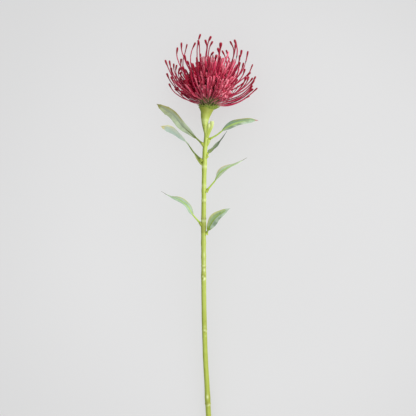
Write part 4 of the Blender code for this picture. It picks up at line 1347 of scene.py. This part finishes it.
@dataclass
class Florets:
    """Florets in a spiral on the receptacle: where each stands and how its style grows, one number for each."""

    share: Array
    turn: Array
    more_bend: Array
    longer: Array
    twist: Array
    habit: Habit = Habit()

    @classmethod
    def open_ones(cls, count: int = 168) -> "Florets":
        """The open florets, a golden angle from each to the next.

        Args:
            count: How many there are.

        Returns:
            The florets, lowest first.
        """
        draw = random.Random(Seed.OPEN_FLORETS)
        growth = [(math.radians(draw.uniform(-9, 9)), draw.uniform(0.93, 1.08), draw.uniform(-0.10, 0.10))
                  for _ in range(count)]
        number = np.arange(count)
        return cls(0.90 * ((number + 0.5) / count) ** 1.2, number * GOLDEN_ANGLE, *np.array(growth).T)

    @classmethod
    def between(cls, count: int, seed: Seed) -> "Florets":
        """More florets of the same growth, turned at random, to fill the head.

        Args:
            count: How many there are.
            seed: The start of the random numbers.

        Returns:
            The florets, lowest first.
        """
        draw = np.random.default_rng(seed)
        number = np.arange(count)
        turn = number * GOLDEN_ANGLE + 1.2 + draw.uniform(-0.2, 0.2, count)
        return cls(0.95 * ((number + 0.5) / count) ** 1.1, turn, draw.uniform(-0.16, 0.16, count),
                   draw.uniform(0.9, 1.08, count), draw.uniform(-0.1, 0.1, count))

    def to_right(self, start: float, end: float) -> Array:
        """How far right each stands: zero up to a cosine of start, one from end on."""
        return ease(np.cos(self.turn), start, end)

    def to_left(self, start: float, end: float) -> Array:
        """How far left each stands: zero up to a cosine of -start, one from -end on."""
        return ease(-np.cos(self.turn), start, end)

    def higher(self, start: float, end: float) -> Array:
        """How high each stands: zero up to the share start, one from end on."""
        return ease(self.share, start, end)

    def growth(self, fractions: Array) -> tuple[Array, Array, Array]:
        """Radius, turn and height on each floret's way, at fractions of its style's length.

        A style leaves at an angle from the axis that falls from the lowest row to the top, and bends inwards by
        bend * fraction^power. Its steps are added up along it.

        Args:
            fractions: One row of fractions, or a row for each floret.

        Returns:
            Radius, turn and height, for florets and fractions.
        """
        habit = self.habit
        s = self.share[:, None]
        low, high = np.cos(np.radians(habit.leaving))
        leaving = np.arccos(low * (1 - s) + high * s)
        bend = np.radians(habit.bend[0] * (1 - s) + habit.bend[1] * s + habit.middle_bend * s * (1 - s))
        bend = bend + self.more_bend[:, None]
        power = habit.bend_power[0] * (1 - s) + habit.bend_power[1] * s
        length = (habit.length + habit.middle_length * s * (1.3 - s)) * self.longer[:, None]
        length = length * (1 + habit.longer_right * np.cos(self.turn[:, None]) * (1 - 1.6 * s))
        at = np.linspace(0, 1, habit.steps + 1)[:-1]
        angle = leaving - bend * at ** power
        foot_out, foot_up = RECEPTACLE.foot(s)
        step, start = length / habit.steps, np.zeros_like(s)
        out = foot_out + step * np.concatenate((start, np.cumsum(np.sin(angle), axis=1)), axis=1)
        up = foot_up + step * np.concatenate((start, np.cumsum(np.cos(angle), axis=1)), axis=1)
        fractions = np.broadcast_to(fractions, (len(self.share), np.shape(fractions)[-1]))
        turn = self.turn[:, None] + self.twist[:, None] * fractions ** 2
        return read_rows(out, fractions * habit.steps), turn, read_rows(up, fractions * habit.steps)

    def paths(self, fractions: Array) -> Array:
        """The florets' ways in the part's frame: florets, fractions and coordinates."""
        return SEAT.point(*self.growth(fractions))

    def picked(self, chosen: Array) -> "Florets":
        """Some of the florets, by their numbers or by a row of true and false."""
        growth = (self.share, self.turn, self.more_bend, self.longer, self.twist)
        return Florets(*(values[chosen] for values in growth))

    def clear_of_cup(self) -> "Florets":
        """The florets that don't stand straight out over the cup to the camera, nor lowest at the sides."""
        front = 0.16 * np.maximum(0, np.sin(self.turn)) ** 2
        beside = np.maximum(0.14 * self.to_right(0.1, 0.5), 0.08 * self.to_left(0.1, 0.5))
        return self.picked(self.share > 0.04 + np.maximum(front, beside))

    def with_style(self) -> "Florets":
        """The florets that show an open style: low ones but for the far left, and higher ones front and back."""
        aside = np.cos(self.turn)
        low = (self.share < 0.30 - 0.30 * self.to_right(0.3, 0.7)) & (aside > -0.55)
        high = (self.share >= 0.30) & (self.share < 0.46) & (np.abs(aside) < 0.45)
        return self.picked(low | high)

    def tones(self, draw: np.random.Generator) -> Array:
        """How deep each floret's colour is: at random, plus painted shade high on the left and a little painted
        light on the right.
        """
        painted_shade_tone = 0.9 * self.to_left(0.22, 0.68) * self.higher(0.08, 0.3) - 0.1 * self.to_right(0.1, 0.8)
        return np.clip(draw.uniform(0, 0.7, len(self.share)) + painted_shade_tone, 0, 1)


@dataclass
class ClearStyles:
    """The listed styles, each on a smooth curve from its root through its three places."""

    rows: Table = CLEAR_STYLES + INNER_STYLES
    seen_from: Point = (0.8 * MM, 33.6 * MM, 1550 * MM)
    dome_centre: Span = (4.7 * MM, 173.0 * MM)
    dome_radius: float = 51.5 * MM
    root_share: float = 0.75
    rise: float = 1.5

    @property
    def club(self) -> Array:
        """How thick each style's end is."""
        return np.array(self.rows)[:, 7]

    def paths(self, fractions: Array) -> Array:
        """The styles' ways.

        An end stands lean * sqrt(R^2 - d^2) above the stem's plane, d being how far it is from the dome's centre.
        On the way that height grows with the way's share to the power of rise. Places come closer to the
        camera's axis the higher they are, so that the camera sees them where they are listed.

        Args:
            fractions: Shares of the way, the same for each style.

        Returns:
            Styles, fractions and coordinates in the part's frame.
        """
        rows = np.array(self.rows)
        seen = rows[:, :6].reshape(-1, 3, 2) * MM
        aside = seen[:, 2] - np.array(self.dome_centre)
        end_above = rows[:, 6] * np.sqrt(np.maximum(0, self.dome_radius ** 2 - (aside ** 2).sum(axis=1)))
        axis = np.array((math.sin(SEAT.lean), math.cos(SEAT.lean)))
        beside = np.array((axis[1], -axis[0]))
        reach = np.sqrt((aside ** 2).sum(axis=1) + end_above ** 2)
        share = self.root_share * np.maximum(0, aside @ axis) / reach
        turn = np.arctan2(end_above, aside @ beside)
        out, height = RECEPTACLE.foot(share)
        base = np.array((SEAT.across, LAY.head_along))
        root = base + (out * np.cos(turn))[:, None] * beside + height[:, None] * axis
        flat = np.concatenate((root[:, None], seen), axis=1)
        steps = np.linalg.norm(np.diff(flat, axis=1), axis=2)
        way = np.concatenate((np.zeros((len(rows), 1)), np.cumsum(steps, axis=1)), axis=1)
        way = way / way[:, -1:]
        root_above = (out * np.sin(turn))[:, None]
        above = root_above + (end_above[:, None] - root_above) * way ** self.rise
        middle = np.array(self.seen_from[:2])
        flat[:, 1:] = middle + (flat[:, 1:] - middle) * (1 - above[:, 1:, None] / self.seen_from[2])
        solid = np.concatenate((flat, above[..., None]), axis=2)
        return LAY.place(np.stack([smooth_curve(*style, fractions) for style in zip(way, solid)]))


@dataclass
class Styles:
    """The open florets' styles: thin round tubes along their ways, each with a swollen end.

    A station is a share of the way, the shaft's thickness there and the swollen end's. The listed styles are
    thicker, mostly on the right, between the places across of right_from.
    """

    radius: float = 0.57 * MM
    club_radius: float = 1.12 * MM
    sides: int = 6
    stations: Table = (
        (0.0, 1.1, 0), (0.12, 1.05, 0), (0.24, 1.0, 0), (0.36, 1.0, 0), (0.48, 1.0, 0), (0.60, 0.97, 0),
        (0.72, 0.94, 0), (0.82, 0.92, 0), (0.875, 0.92, 0.5), (0.905, 0.95, 0.68), (0.935, 0.95, 0.92),
        (0.965, 0.95, 1.0), (0.985, 0.9, 0.95), (1.0, 0.7, 0.66),
    )
    spiral_club: Span = (0.5, 0.7)
    spiral_thickness: float = 0.7
    listed_thickness: float = 1.04
    right_thickness: float = 0.2
    right_from: Span = (-10, 25)

    def build(self, florets: Florets, listed: ClearStyles) -> Piece:
        """Builds and dresses the styles.

        Args:
            florets: The florets in the spiral that have one.
            listed: The listed styles.

        Returns:
            The piece.
        """
        rows, shaft, end = np.array(self.stations).T
        draw = np.random.default_rng(Seed.STYLES)
        path = np.concatenate((florets.paths(rows), listed.paths(rows)))
        spiral = len(florets.share)
        club = np.concatenate((draw.uniform(*self.spiral_club, spiral), listed.club ** 1.2))[:, None]
        thicker = self.right_thickness * ease(np.array(listed.rows)[:, 4], *self.right_from)
        thick = np.concatenate((np.full(spiral, self.spiral_thickness), self.listed_thickness + thicker))
        thick = thick[:, None] * draw.uniform(0.94, 1.06, (len(path), 1))
        radius = np.maximum(self.radius * shaft * thick, self.club_radius * end * club)
        surfaces = Surfaces("along", "tone")
        surfaces.add_tubes(rods(SEAT.pressed(path, radius), SEAT.seam, radius, self.sides),
                           along=rows[None, :, None], tone=draw.uniform(0, 1, (len(path), 1, 1)))
        return fit_piece(surfaces.build("styles", StyleSkin().make()), Slot.STYLE, ["flower_head"])


@dataclass(frozen=True)
class LimbKind:
    """One kind of perianth limb.

    each is how many a floret has, seed the start of their random differences, reach where on the style's way
    limbs leave it, loop the size of their loops, width how wide they are, and stray how far loops turn aside.
    """

    each: int
    seed: Seed
    reach: Span
    loop: float
    width: float
    stray: float = 0.0


@dataclass
class Limbs:
    """The looped perianth limbs: a shallow gutter of four points carried along each way.

    beside is where a limb's points stand on its own straight part, next to the style. The loops' half widths,
    half lengths and turns are drawn from the ranges, in millimetres and degrees.
    """

    width: float = 1.75 * MM
    thickness: float = 0.32 * MM
    table_gap: float = 0.15 * MM
    beside: tuple[float, ...] = (0.06, 0.3, 0.55, 0.8, 1.0)
    straight_share: float = 0.55
    loop_rows: int = 9
    loop_wide: Span = (0.8, 1.7)
    loop_long: Span = (2.0, 5.0)
    loop_turn: Span = (120, 320)

    def ends(self, own: Florets, reach: Array) -> Array:
        """Where each limb leaves its style: sooner on the lowest and highest florets, low right and high left.

        Args:
            own: The floret of each limb.
            reach: The share of the style's way that each would leave at.

        Returns:
            The shares of the way that they leave at.
        """
        end = np.minimum(reach * (0.72 + 0.28 * own.higher(0.02, 0.2)), 0.8 - 0.36 * own.higher(0.15, 0.55))
        low_right = 0.40 * own.to_right(0.3, 0.8) * (1 - own.higher(0.3, 0.5))
        high_left = 0.12 * own.to_left(0.25, 0.65) * own.higher(0.4, 0.6)
        return end * (1 - low_right - high_left)

    def loops(self, own: Florets, kind: LimbKind) -> tuple[Array, Array, Array]:
        """Ways of the perianth limbs: beside their style, then over in a long loop that comes back.

        The loop's points are centre + long * sin(f) * ahead - wide * cos(f) * away, f growing from zero.

        Args:
            own: The floret of each limb.
            kind: Their kind.

        Returns:
            Paths, a direction across each limb, and the share of the way of each row of points.
        """
        draw = np.random.default_rng(kind.seed)
        count = len(own.share)
        around = np.arange(count) * TAU / max(3, kind.each) + draw.uniform(-0.6, 0.6, count)
        beside = np.array(self.beside)
        straight = own.paths(self.ends(own, draw.uniform(*kind.reach, count))[:, None] * beside)
        ahead = unit(straight[:, -1] - straight[:, -2])
        outward = SEAT.outward(own.turn)
        outward = unit(outward - ahead * dot(ahead, outward))
        away = outward * np.cos(around)[:, None] + np.cross(ahead, outward) * np.sin(around)[:, None]
        away = unit(away + 0.5 * (2 * own.higher(0.0, 0.5) - 1)[:, None] * outward)
        straight = straight + away[:, None] * (0.5 + 0.9 * beside)[:, None] * MM
        ahead = unit(ahead + kind.stray * draw.normal(size=ahead.shape))
        away = unit(away - ahead * dot(ahead, away))
        wide = draw.uniform(*self.loop_wide, count)[:, None] * kind.loop * MM
        long = draw.uniform(*self.loop_long, count)[:, None] * kind.loop * MM
        way = np.linspace(0, 1, self.loop_rows)[1:]
        swing = np.radians(draw.uniform(*self.loop_turn, count))[:, None] * way
        centre = straight[:, -1] + away * wide
        loop = (centre[:, None] + ahead[:, None] * (long * np.sin(swing))[..., None]
                - away[:, None] * (wide * np.cos(swing))[..., None])
        along = np.append(self.straight_share * beside, self.straight_share + (1 - self.straight_share) * way)
        return np.concatenate((straight, loop), axis=1), np.cross(ahead, away), along

    def build(self, groups: Sequence[tuple[Florets, LimbKind]]) -> Piece:
        """Builds and dresses the limbs, widest near the middle of their way by a sine, and thinner to the end.

        Args:
            groups: Florets and the kind of limbs that they have.

        Returns:
            The piece.
        """
        surfaces = Surfaces("along", "tone", "down")
        draw = np.random.default_rng(Seed.LIMBS)
        for florets, kind in groups:
            own = florets.picked(np.repeat(np.arange(len(florets.share)), kind.each))
            path, side, along = self.loops(own, kind)
            size = kind.width * draw.uniform(0.75, 1.15, (len(path), 1))
            width = self.width / 2 * size * (0.38 + 0.62 * np.sin(0.9 * math.pi * along ** 1.1))
            thick = self.thickness / 2 * (1 - 0.5 * along) * np.ones_like(size)
            u = np.stack((width, 0 * width, -width, 0 * width), axis=-1)
            v = np.stack((-0.45 * width, thick, -0.45 * width, -thick), axis=-1)
            points = swept(path, side[:, None], u, v)
            points = SEAT.pressed(points, np.full(points.shape[:-1], self.table_gap))
            tone = own.tones(draw)[:, None, None]
            # down: the silky down, also painting highlights, more on the lighter florets.
            down = draw.uniform(0, 1, tone.shape) ** 1.5 * (1 - tone) * ease(along, 0.2, 0.6)[:, None]
            surfaces.add_tubes(points, along=along[:, None], tone=tone, down=down)
        return fit_piece(surfaces.build("perianth_limbs", PetalSkin().make()), Slot.STYLE, ["flower_head"])


@dataclass
class ClosedFlorets:
    """Closed florets: slender tubes that swell to a blunt downy end inside the head.

    A station is a share of the length and the thickness there.
    """

    radius: float = 0.62 * MM
    sides: int = 6
    reach: Span = (0.42, 0.72)
    stations: Table = (
        (0.0, 0.9), (0.2, 0.85), (0.4, 0.9), (0.6, 1.0), (0.75, 1.1), (0.86, 1.5), (0.92, 1.6), (0.97, 1.3),
        (1.0, 0.5),
    )

    def longer(self, florets: Florets) -> Array:
        """How much longer each is: more high up, mostly on the right, and low left, and less elsewhere.

        Args:
            florets: The closed florets.

        Returns:
            The share of its length that is added to each.
        """
        high = (0.06 + 0.06 * np.cos(florets.turn)) * florets.higher(0.35, 0.75)
        low_right = 0.42 * florets.to_right(0.3, 0.8) * (1 - florets.higher(0.3, 0.5))
        low_left = 0.10 * florets.to_left(0.2, 0.7) * florets.higher(0.12, 0.25)
        low_left = low_left * (1 - florets.higher(0.3, 0.42))
        high_left = 0.10 * florets.to_left(0.25, 0.65) * florets.higher(0.42, 0.6)
        return high - low_right + low_left - high_left

    def build(self, florets: Florets) -> Piece:
        """Builds and dresses the closed florets.

        Args:
            florets: Where they stand.

        Returns:
            The piece.
        """
        rows, shape = np.array(self.stations).T
        draw = np.random.default_rng(Seed.CLOSED_SHAPES)
        count = len(florets.share)
        reach = draw.uniform(*self.reach, (count, 1)) * (1 + self.longer(florets)[:, None])
        radius = self.radius * shape * draw.uniform(0.8, 1.15, (count, 1))
        path = SEAT.pressed(florets.paths(reach * rows), radius)
        tone = florets.tones(draw)[:, None, None]
        down = draw.uniform(0, 0.8, tone.shape) * (1 - tone) * ease(rows, 0.7, 0.95)[:, None]
        surfaces = Surfaces("along", "tone", "down")
        surfaces.add_tubes(rods(path, SEAT.seam, radius, self.sides), along=rows[:, None], tone=tone, down=down)
        return fit_piece(surfaces.build("closed_florets", PetalSkin().make()), Slot.STYLE, ["flower_head"])


@dataclass
class Buds:
    """The unopened florets in the middle: rods that swell to a blunt, downy end.

    A station is a share of the length and the thickness there.
    """

    count: int = 40
    length: float = 33.0 * MM
    radius: float = 0.95 * MM
    root: float = 22.0 * MM
    root_out: float = 1.5 * MM
    spread: float = math.radians(23)
    aside: float = 3.6 * MM
    sides: int = 7
    stations: Table = (
        (0.0, 0.7), (0.3, 0.7), (0.6, 0.72), (0.8, 0.85), (0.88, 1.25), (0.94, 1.35), (0.98, 1.05), (1.0, 0.4),
    )

    def build(self) -> Piece:
        """Builds and dresses the buds: they spread by the root of their share, and bend in and to the left."""
        rows, shape = np.array(self.stations).T[:, None]
        draw = np.random.default_rng(Seed.BUDS)
        number = np.arange(self.count)[:, None]
        share = np.sqrt((number + 0.5) / self.count)
        turn = number * GOLDEN_ANGLE
        length = self.length * draw.uniform(0.86, 1.04, (self.count, 1))
        spread = self.spread * share
        out = self.root_out * share + length * rows * np.sin(spread * (1 - 0.45 * rows))
        path = SEAT.point(out, turn, self.root + length * rows * np.cos(spread))
        path = path - SEAT.right * (self.aside * rows ** 2)[..., None]
        radius = self.radius * shape * draw.uniform(0.85, 1.15, (self.count, 1))
        points = rods(path, SEAT.sideways(turn), radius, self.sides)
        down = 0.95 * ease(rows, 0.70, 0.86)[..., None]
        tone = draw.uniform(0, 0.45, (self.count, 1, 1))
        surfaces = Surfaces("along", "tone", "down")
        surfaces.add_tubes(points, along=0.3 + 0.7 * rows[..., None], tone=tone, down=down)
        return fit_piece(surfaces.build("unopened_florets", PetalSkin().make()), Slot.STYLE, ["flower_head"])


@dataclass
class Down:
    """Silky hairs on the limbs' loops and on the buds' ends: thin three-sided spikes that lean outwards.

    A station is a share of a hair's length and the thickness there, and lengths are in millimetres.
    """

    radius: float = 0.075
    lengths: Span = (0.7, 1.6)
    lean: float = 0.5
    sides: int = 3
    table_gap: float = 0.3
    from_along: float = 0.6
    stations: Table = ((0.0, 1.0), (0.5, 0.75), (1.0, 0.15))

    def roots(self, host: Piece, count: int, draw: np.random.Generator) -> tuple[Array, Array]:
        """Points on the far parts of a piece's florets, and their normals.

        Args:
            host: The piece.
            count: How many points are drawn.
            draw: The random numbers.

        Returns:
            The points and the normals.
        """
        mesh = host.data
        places, normals, along = (np.empty(len(mesh.vertices) * width, np.float32) for width in (3, 3, 1))
        mesh.vertices.foreach_get("co", places)
        mesh.vertices.foreach_get("normal", normals)
        mesh.attributes["along"].data.foreach_get("value", along)
        chosen = draw.choice(np.flatnonzero(along > self.from_along), count)
        return places.reshape(-1, 3)[chosen].astype(float), normals.reshape(-1, 3)[chosen]

    def build(self, hosts: Sequence[tuple[Piece, int]]) -> Piece:
        """Builds and dresses the hairs.

        Args:
            hosts: The pieces they stand on, and how many each has.

        Returns:
            The piece.
        """
        rows, shape = np.array(self.stations).T
        draw = np.random.default_rng(Seed.DOWN)
        surfaces = Surfaces("along")
        for host, count in hosts:
            root, normal = self.roots(host, count, draw)
            lean = unit(normal + self.lean * draw.normal(size=(count, 3)))
            length = draw.uniform(*self.lengths, (count, 1)) * MM
            path = root[:, None] + lean[:, None] * (length * rows)[..., None]
            path[..., 2] = np.maximum(path[..., 2], self.table_gap * MM)
            radius = self.radius * MM * shape * np.ones((count, 1))
            points = rods(path, np.cross(lean, LAY.up_stem)[:, None], radius, self.sides)
            surfaces.add_tubes(points, along=rows[:, None])
        return fit_piece(surfaces.build("floret_down", DownSkin().make()), Slot.STYLE)


@dataclass
class Core:
    """The core that the florets hide. A row of its profile is a radius and a height, in millimetres."""

    profile: Table = (
        (0.2, 44.0), (7.5, 43.2), (13.0, 39.8), (16.6, 33.5), (18.0, 26.0), (17.2, 17.5), (14.6, 10.5),
        (10.8, 5.4), (7.4, 2.0), (0.2, 1.6),
    )
    rows: int = 60
    sides: int = 90
    bump: float = 0.5 * MM
    bumps_round: float = 21
    bumps_along: float = 60
    olive_heights: Span = (5 * MM, 13 * MM)

    def build(self) -> Piece:
        """Builds and dresses the core: its profile turned about the axis, with a bump for each crowded floret.

        The bumps are b * sin(n a + m t) * sin(n a - m t), a being the angle and t the way up.

        Returns:
            The piece.
        """
        way = np.linspace(0, 1, self.rows)
        radius, height = smooth_line(np.array(self.profile[::-1]) * MM, way).T[..., None]
        angle = np.arange(self.sides) * TAU / self.sides
        round_it, up = self.bumps_round * angle, self.bumps_along * way[:, None]
        bumps = self.bump * np.sin(round_it + up) * np.sin(round_it - up)
        radius = np.maximum(radius, 0.1 * MM)
        radius = radius + bumps * ease(radius, 2 * MM, 8 * MM)
        surfaces = Surfaces("low")
        surfaces.add_tubes(SEAT.point(radius, angle, height)[None], low=1 - ease(height, *self.olive_heights))
        return fit_piece(surfaces.build("floret_core", CoreSkin().make()), Slot.STYLE, ["flower_head"])


@dataclass
class FlowerHead:
    """The flower head: styles, looped perianth limbs, closed florets, buds, down, and the core they hide."""

    filling_count: int = 70
    long_count: int = 150
    curled_count: int = 90
    closed_count: int = 250
    limb_hairs: int = 2200
    bud_hairs: int = 1900
    own_limbs: LimbKind = LimbKind(3, Seed.OWN_LIMBS, (0.26, 0.50), 1.0, 1.0)
    filling_limbs: LimbKind = LimbKind(2, Seed.FILLING_LIMBS, (0.26, 0.50), 1.0, 1.0)
    long_limbs: LimbKind = LimbKind(1, Seed.LONG_LIMBS, (0.45, 0.78), 0.55, 0.7)
    curled_limbs: LimbKind = LimbKind(1, Seed.CURLED_LIMBS, (0.42, 0.60), 1.1, 1.7, 0.55)

    def build(self) -> None:
        """Builds and dresses the flower head."""
        florets = Florets.open_ones()
        filling = Florets.between(self.filling_count, Seed.FILLING_FLORETS).clear_of_cup()
        long = Florets.between(self.long_count, Seed.LONG_FLORETS).clear_of_cup()
        long = long.picked(np.cos(long.turn) < 0.45)
        curled = Florets.between(self.curled_count, Seed.CURLED_FLORETS).clear_of_cup()
        curled = curled.picked((curled.share > 0.2) & (curled.share < 0.68) & (np.cos(curled.turn) > -0.6))
        Styles().build(florets.with_style(), ClearStyles())
        limbs = Limbs().build(((florets.clear_of_cup(), self.own_limbs), (filling, self.filling_limbs),
                               (long, self.long_limbs), (curled, self.curled_limbs)))
        ClosedFlorets().build(Florets.between(self.closed_count, Seed.CLOSED_FLORETS).clear_of_cup())
        Down().build(((limbs, self.limb_hairs), (Buds().build(), self.bud_hairs)))
        Core().build()


@dataclass
class Involucre:
    """The cup under the head, with its overlapping bracts. Lengths are in millimetres.

    The cup's rows are a radius and a height. A row of bracts has the radius and height of its foot, its rise in
    degrees, and its bracts' length and width.
    """

    cup: Table = (
        (0.2, -1.5), (5.0, -1.5), (8.0, -1.4), (9.1, -0.3), (9.3, 0.5), (8.7, 1.1), (4.0, 1.2), (0.2, 1.2),
    )
    cup_rows: int = 24
    cup_sides: int = 48
    bract_rows: Table = (
        (7.4, -1.9, 31, 5.0, 3.4), (7.8, -1.3, 36, 6.0, 2.3), (7.4, -0.7, 43, 7.0, 1.8),
        (6.8, 0.3, 50, 7.6, 1.4),
    )
    bracts_a_row: int = 19
    thickness: float = 0.5

    def add_cup(self, surfaces: Surfaces) -> None:
        """Adds the cup: its profile turned about the head's axis, with a radius that ripples by 0.02 sin(15 a).

        Args:
            surfaces: The mesh it joins.
        """
        way = np.linspace(0, 1, self.cup_rows)
        radius, height = smooth_line(np.array(self.cup) * MM, way).T[..., None]
        angle = np.arange(self.cup_sides) * TAU / self.cup_sides
        radius = radius * (1 + 0.02 * np.sin(15 * angle))
        surfaces.add_tubes(SEAT.point(radius, angle, height)[None], along=0.15, row=0.3)

    def add_bracts(self, surfaces: Surfaces) -> None:
        """Adds the bracts: pointed gutters of six points a row, thicker in the middle, in rows of a spiral.

        A bract's half width is w / 2 * sin(pi * (0.35 + 0.63 t)), and it rises straight, and by 0.5 t^2 more.

        Args:
            surfaces: The mesh they join.
        """
        draw = np.random.default_rng(Seed.BRACTS)
        count = self.bracts_a_row
        t = np.linspace(0, 1, 7)[None]
        for number, (start, height, rise, length, width) in enumerate(self.bract_rows):
            turn = TAU * (np.arange(count) + 0.5 * number + draw.uniform(-0.15, 0.15, count)) / count
            lift = np.radians(rise + draw.uniform(-6, 6, count))[:, None]
            long = length * draw.uniform(0.85, 1.12, (count, 1))
            long = long * (1 + 0.3 * ease(np.cos(turn), 0.3, 0.9))[:, None]
            out = start + long * t * np.cos(lift)
            up = height + long * t * np.sin(lift) + 0.5 * t ** 2
            path = SEAT.point(out * MM, turn[:, None], up * MM)
            half = width / 2 * np.maximum(0.05, np.sin(math.pi * (0.35 + 0.63 * t))) * MM * np.ones_like(long)
            thick = self.thickness / 2 * (1 - 0.6 * t) * MM * np.ones_like(long)
            edge = -0.25 * half
            u = np.stack((half, 0.5 * half, -0.5 * half, -half, -0.5 * half, 0.5 * half), axis=-1)
            v = np.stack((edge, thick, thick, edge, -thick, -thick), axis=-1)
            points = swept(path, SEAT.sideways(turn)[:, None], u, v)
            surfaces.add_tubes(points, along=t[..., None], row=0.1 + 0.28 * number)

    def build(self) -> None:
        """Builds and dresses the cup and its bracts."""
        surfaces = Surfaces("along", "row")
        self.add_cup(surfaces)
        self.add_bracts(surfaces)
        fit_piece(surfaces.build("involucre_bracts", BractSkin().make()), Slot.BRACT, ["involucre"])


@dataclass
class Studio:
    """A pale floor, soft light and the camera, which looks down square to the stem."""

    view_across: float = 0.825 * MM
    view_along: float = 33.55 * MM
    distance: float = 1.55
    field: float = 457.6 * MM
    sensor: float = 36.0
    clip_end: float = 20.0
    floor_size: float = 8.0
    key_place: Point = (2.1, 0.9, 1.5)
    key_aim: Point = (0.0, 0.05, 0.0)
    key_size: float = 1.2
    key_power: float = 66.0
    sky: float = 0.89

    def floor(self) -> Piece:
        """A square floor with its middle at the origin, as stage."""
        half = self.floor_size / 2
        mesh = bpy.data.meshes.new("floor")
        corners = [(-half, -half, 0), (half, -half, 0), (half, half, 0), (-half, half, 0)]
        mesh.from_pydata(corners, [], [(0, 1, 2, 3)])
        mesh.materials.append(SelfLitFloor().make())
        floor = put_in_scene("floor", mesh)
        return floor

    def stand(self, piece: Piece, place: Array, side: Array, back: Array) -> None:
        """Stands a lamp or camera at a place, to look away from back, with side to its right.

        Args:
            piece: The lamp or camera.
            place: Where it stands.
            side: The direction to its right.
            back: The direction behind it.
        """
        turned = np.stack((side, np.cross(back, side), back), axis=1)
        piece.matrix_world = Matrix.Translation(place.tolist()) @ Matrix(turned.tolist()).to_4x4()

    def lights(self, floor: Piece) -> None:
        """A pale sky all round, and a soft light from the right that the floor leaves out, as on a light table.

        Args:
            floor: The floor.
        """
        world = bpy.data.worlds.new("studio")
        bpy.context.scene.world = world
        world.use_nodes = True
        background = world.node_tree.nodes["Background"]
        background.inputs["Color"].default_value = (1, 1, 1, 1)
        background.inputs["Strength"].default_value = self.sky
        light = bpy.data.lights.new("key", "AREA")
        light.shape = "SQUARE"
        light.size = self.key_size
        light.energy = self.key_power
        key = put_in_scene("key", light)
        place = np.array(self.key_place)
        back = unit(place - np.array(self.key_aim))
        self.stand(key, place, unit(np.cross(np.array([0.0, 1.0, 0.0]), back)), back)
        unlit = bpy.data.collections.new("unlit_by_key")
        unlit.objects.link(floor)
        unlit.collection_objects[0].light_linking.link_state = "EXCLUDE"
        key.light_linking.receiver_collection = unlit

    def camera(self) -> None:
        """The camera, square to the stem, as far off as its lens needs for the photograph's field."""
        lens = bpy.data.cameras.new("camera")
        lens.sensor_width = self.sensor
        lens.lens = self.distance * self.sensor / self.field
        lens.clip_end = self.clip_end
        camera = put_in_scene("camera", lens)
        place = LAY.place(np.array([self.view_across, self.view_along, self.distance]))
        self.stand(camera, place, LAY.right, LAY.off_table)
        bpy.context.scene.camera = camera

    def build(self) -> None:
        """Sets the floor, lights and camera, and plain colours for the picture."""
        self.lights(self.floor())
        self.camera()
        bpy.context.scene.view_settings.view_transform = "Standard"


def main() -> None:
    """Builds the flower piece by piece."""
    logging.basicConfig(level=logging.INFO, format="%(name)s: %(message)s")
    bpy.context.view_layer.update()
    Studio().build()
    Stem().build(LEAVES)
    for leaf in LEAVES:
        leaf.build()
    Involucre().build()
    FlowerHead().build()


if __name__ == "__main__":
    main()
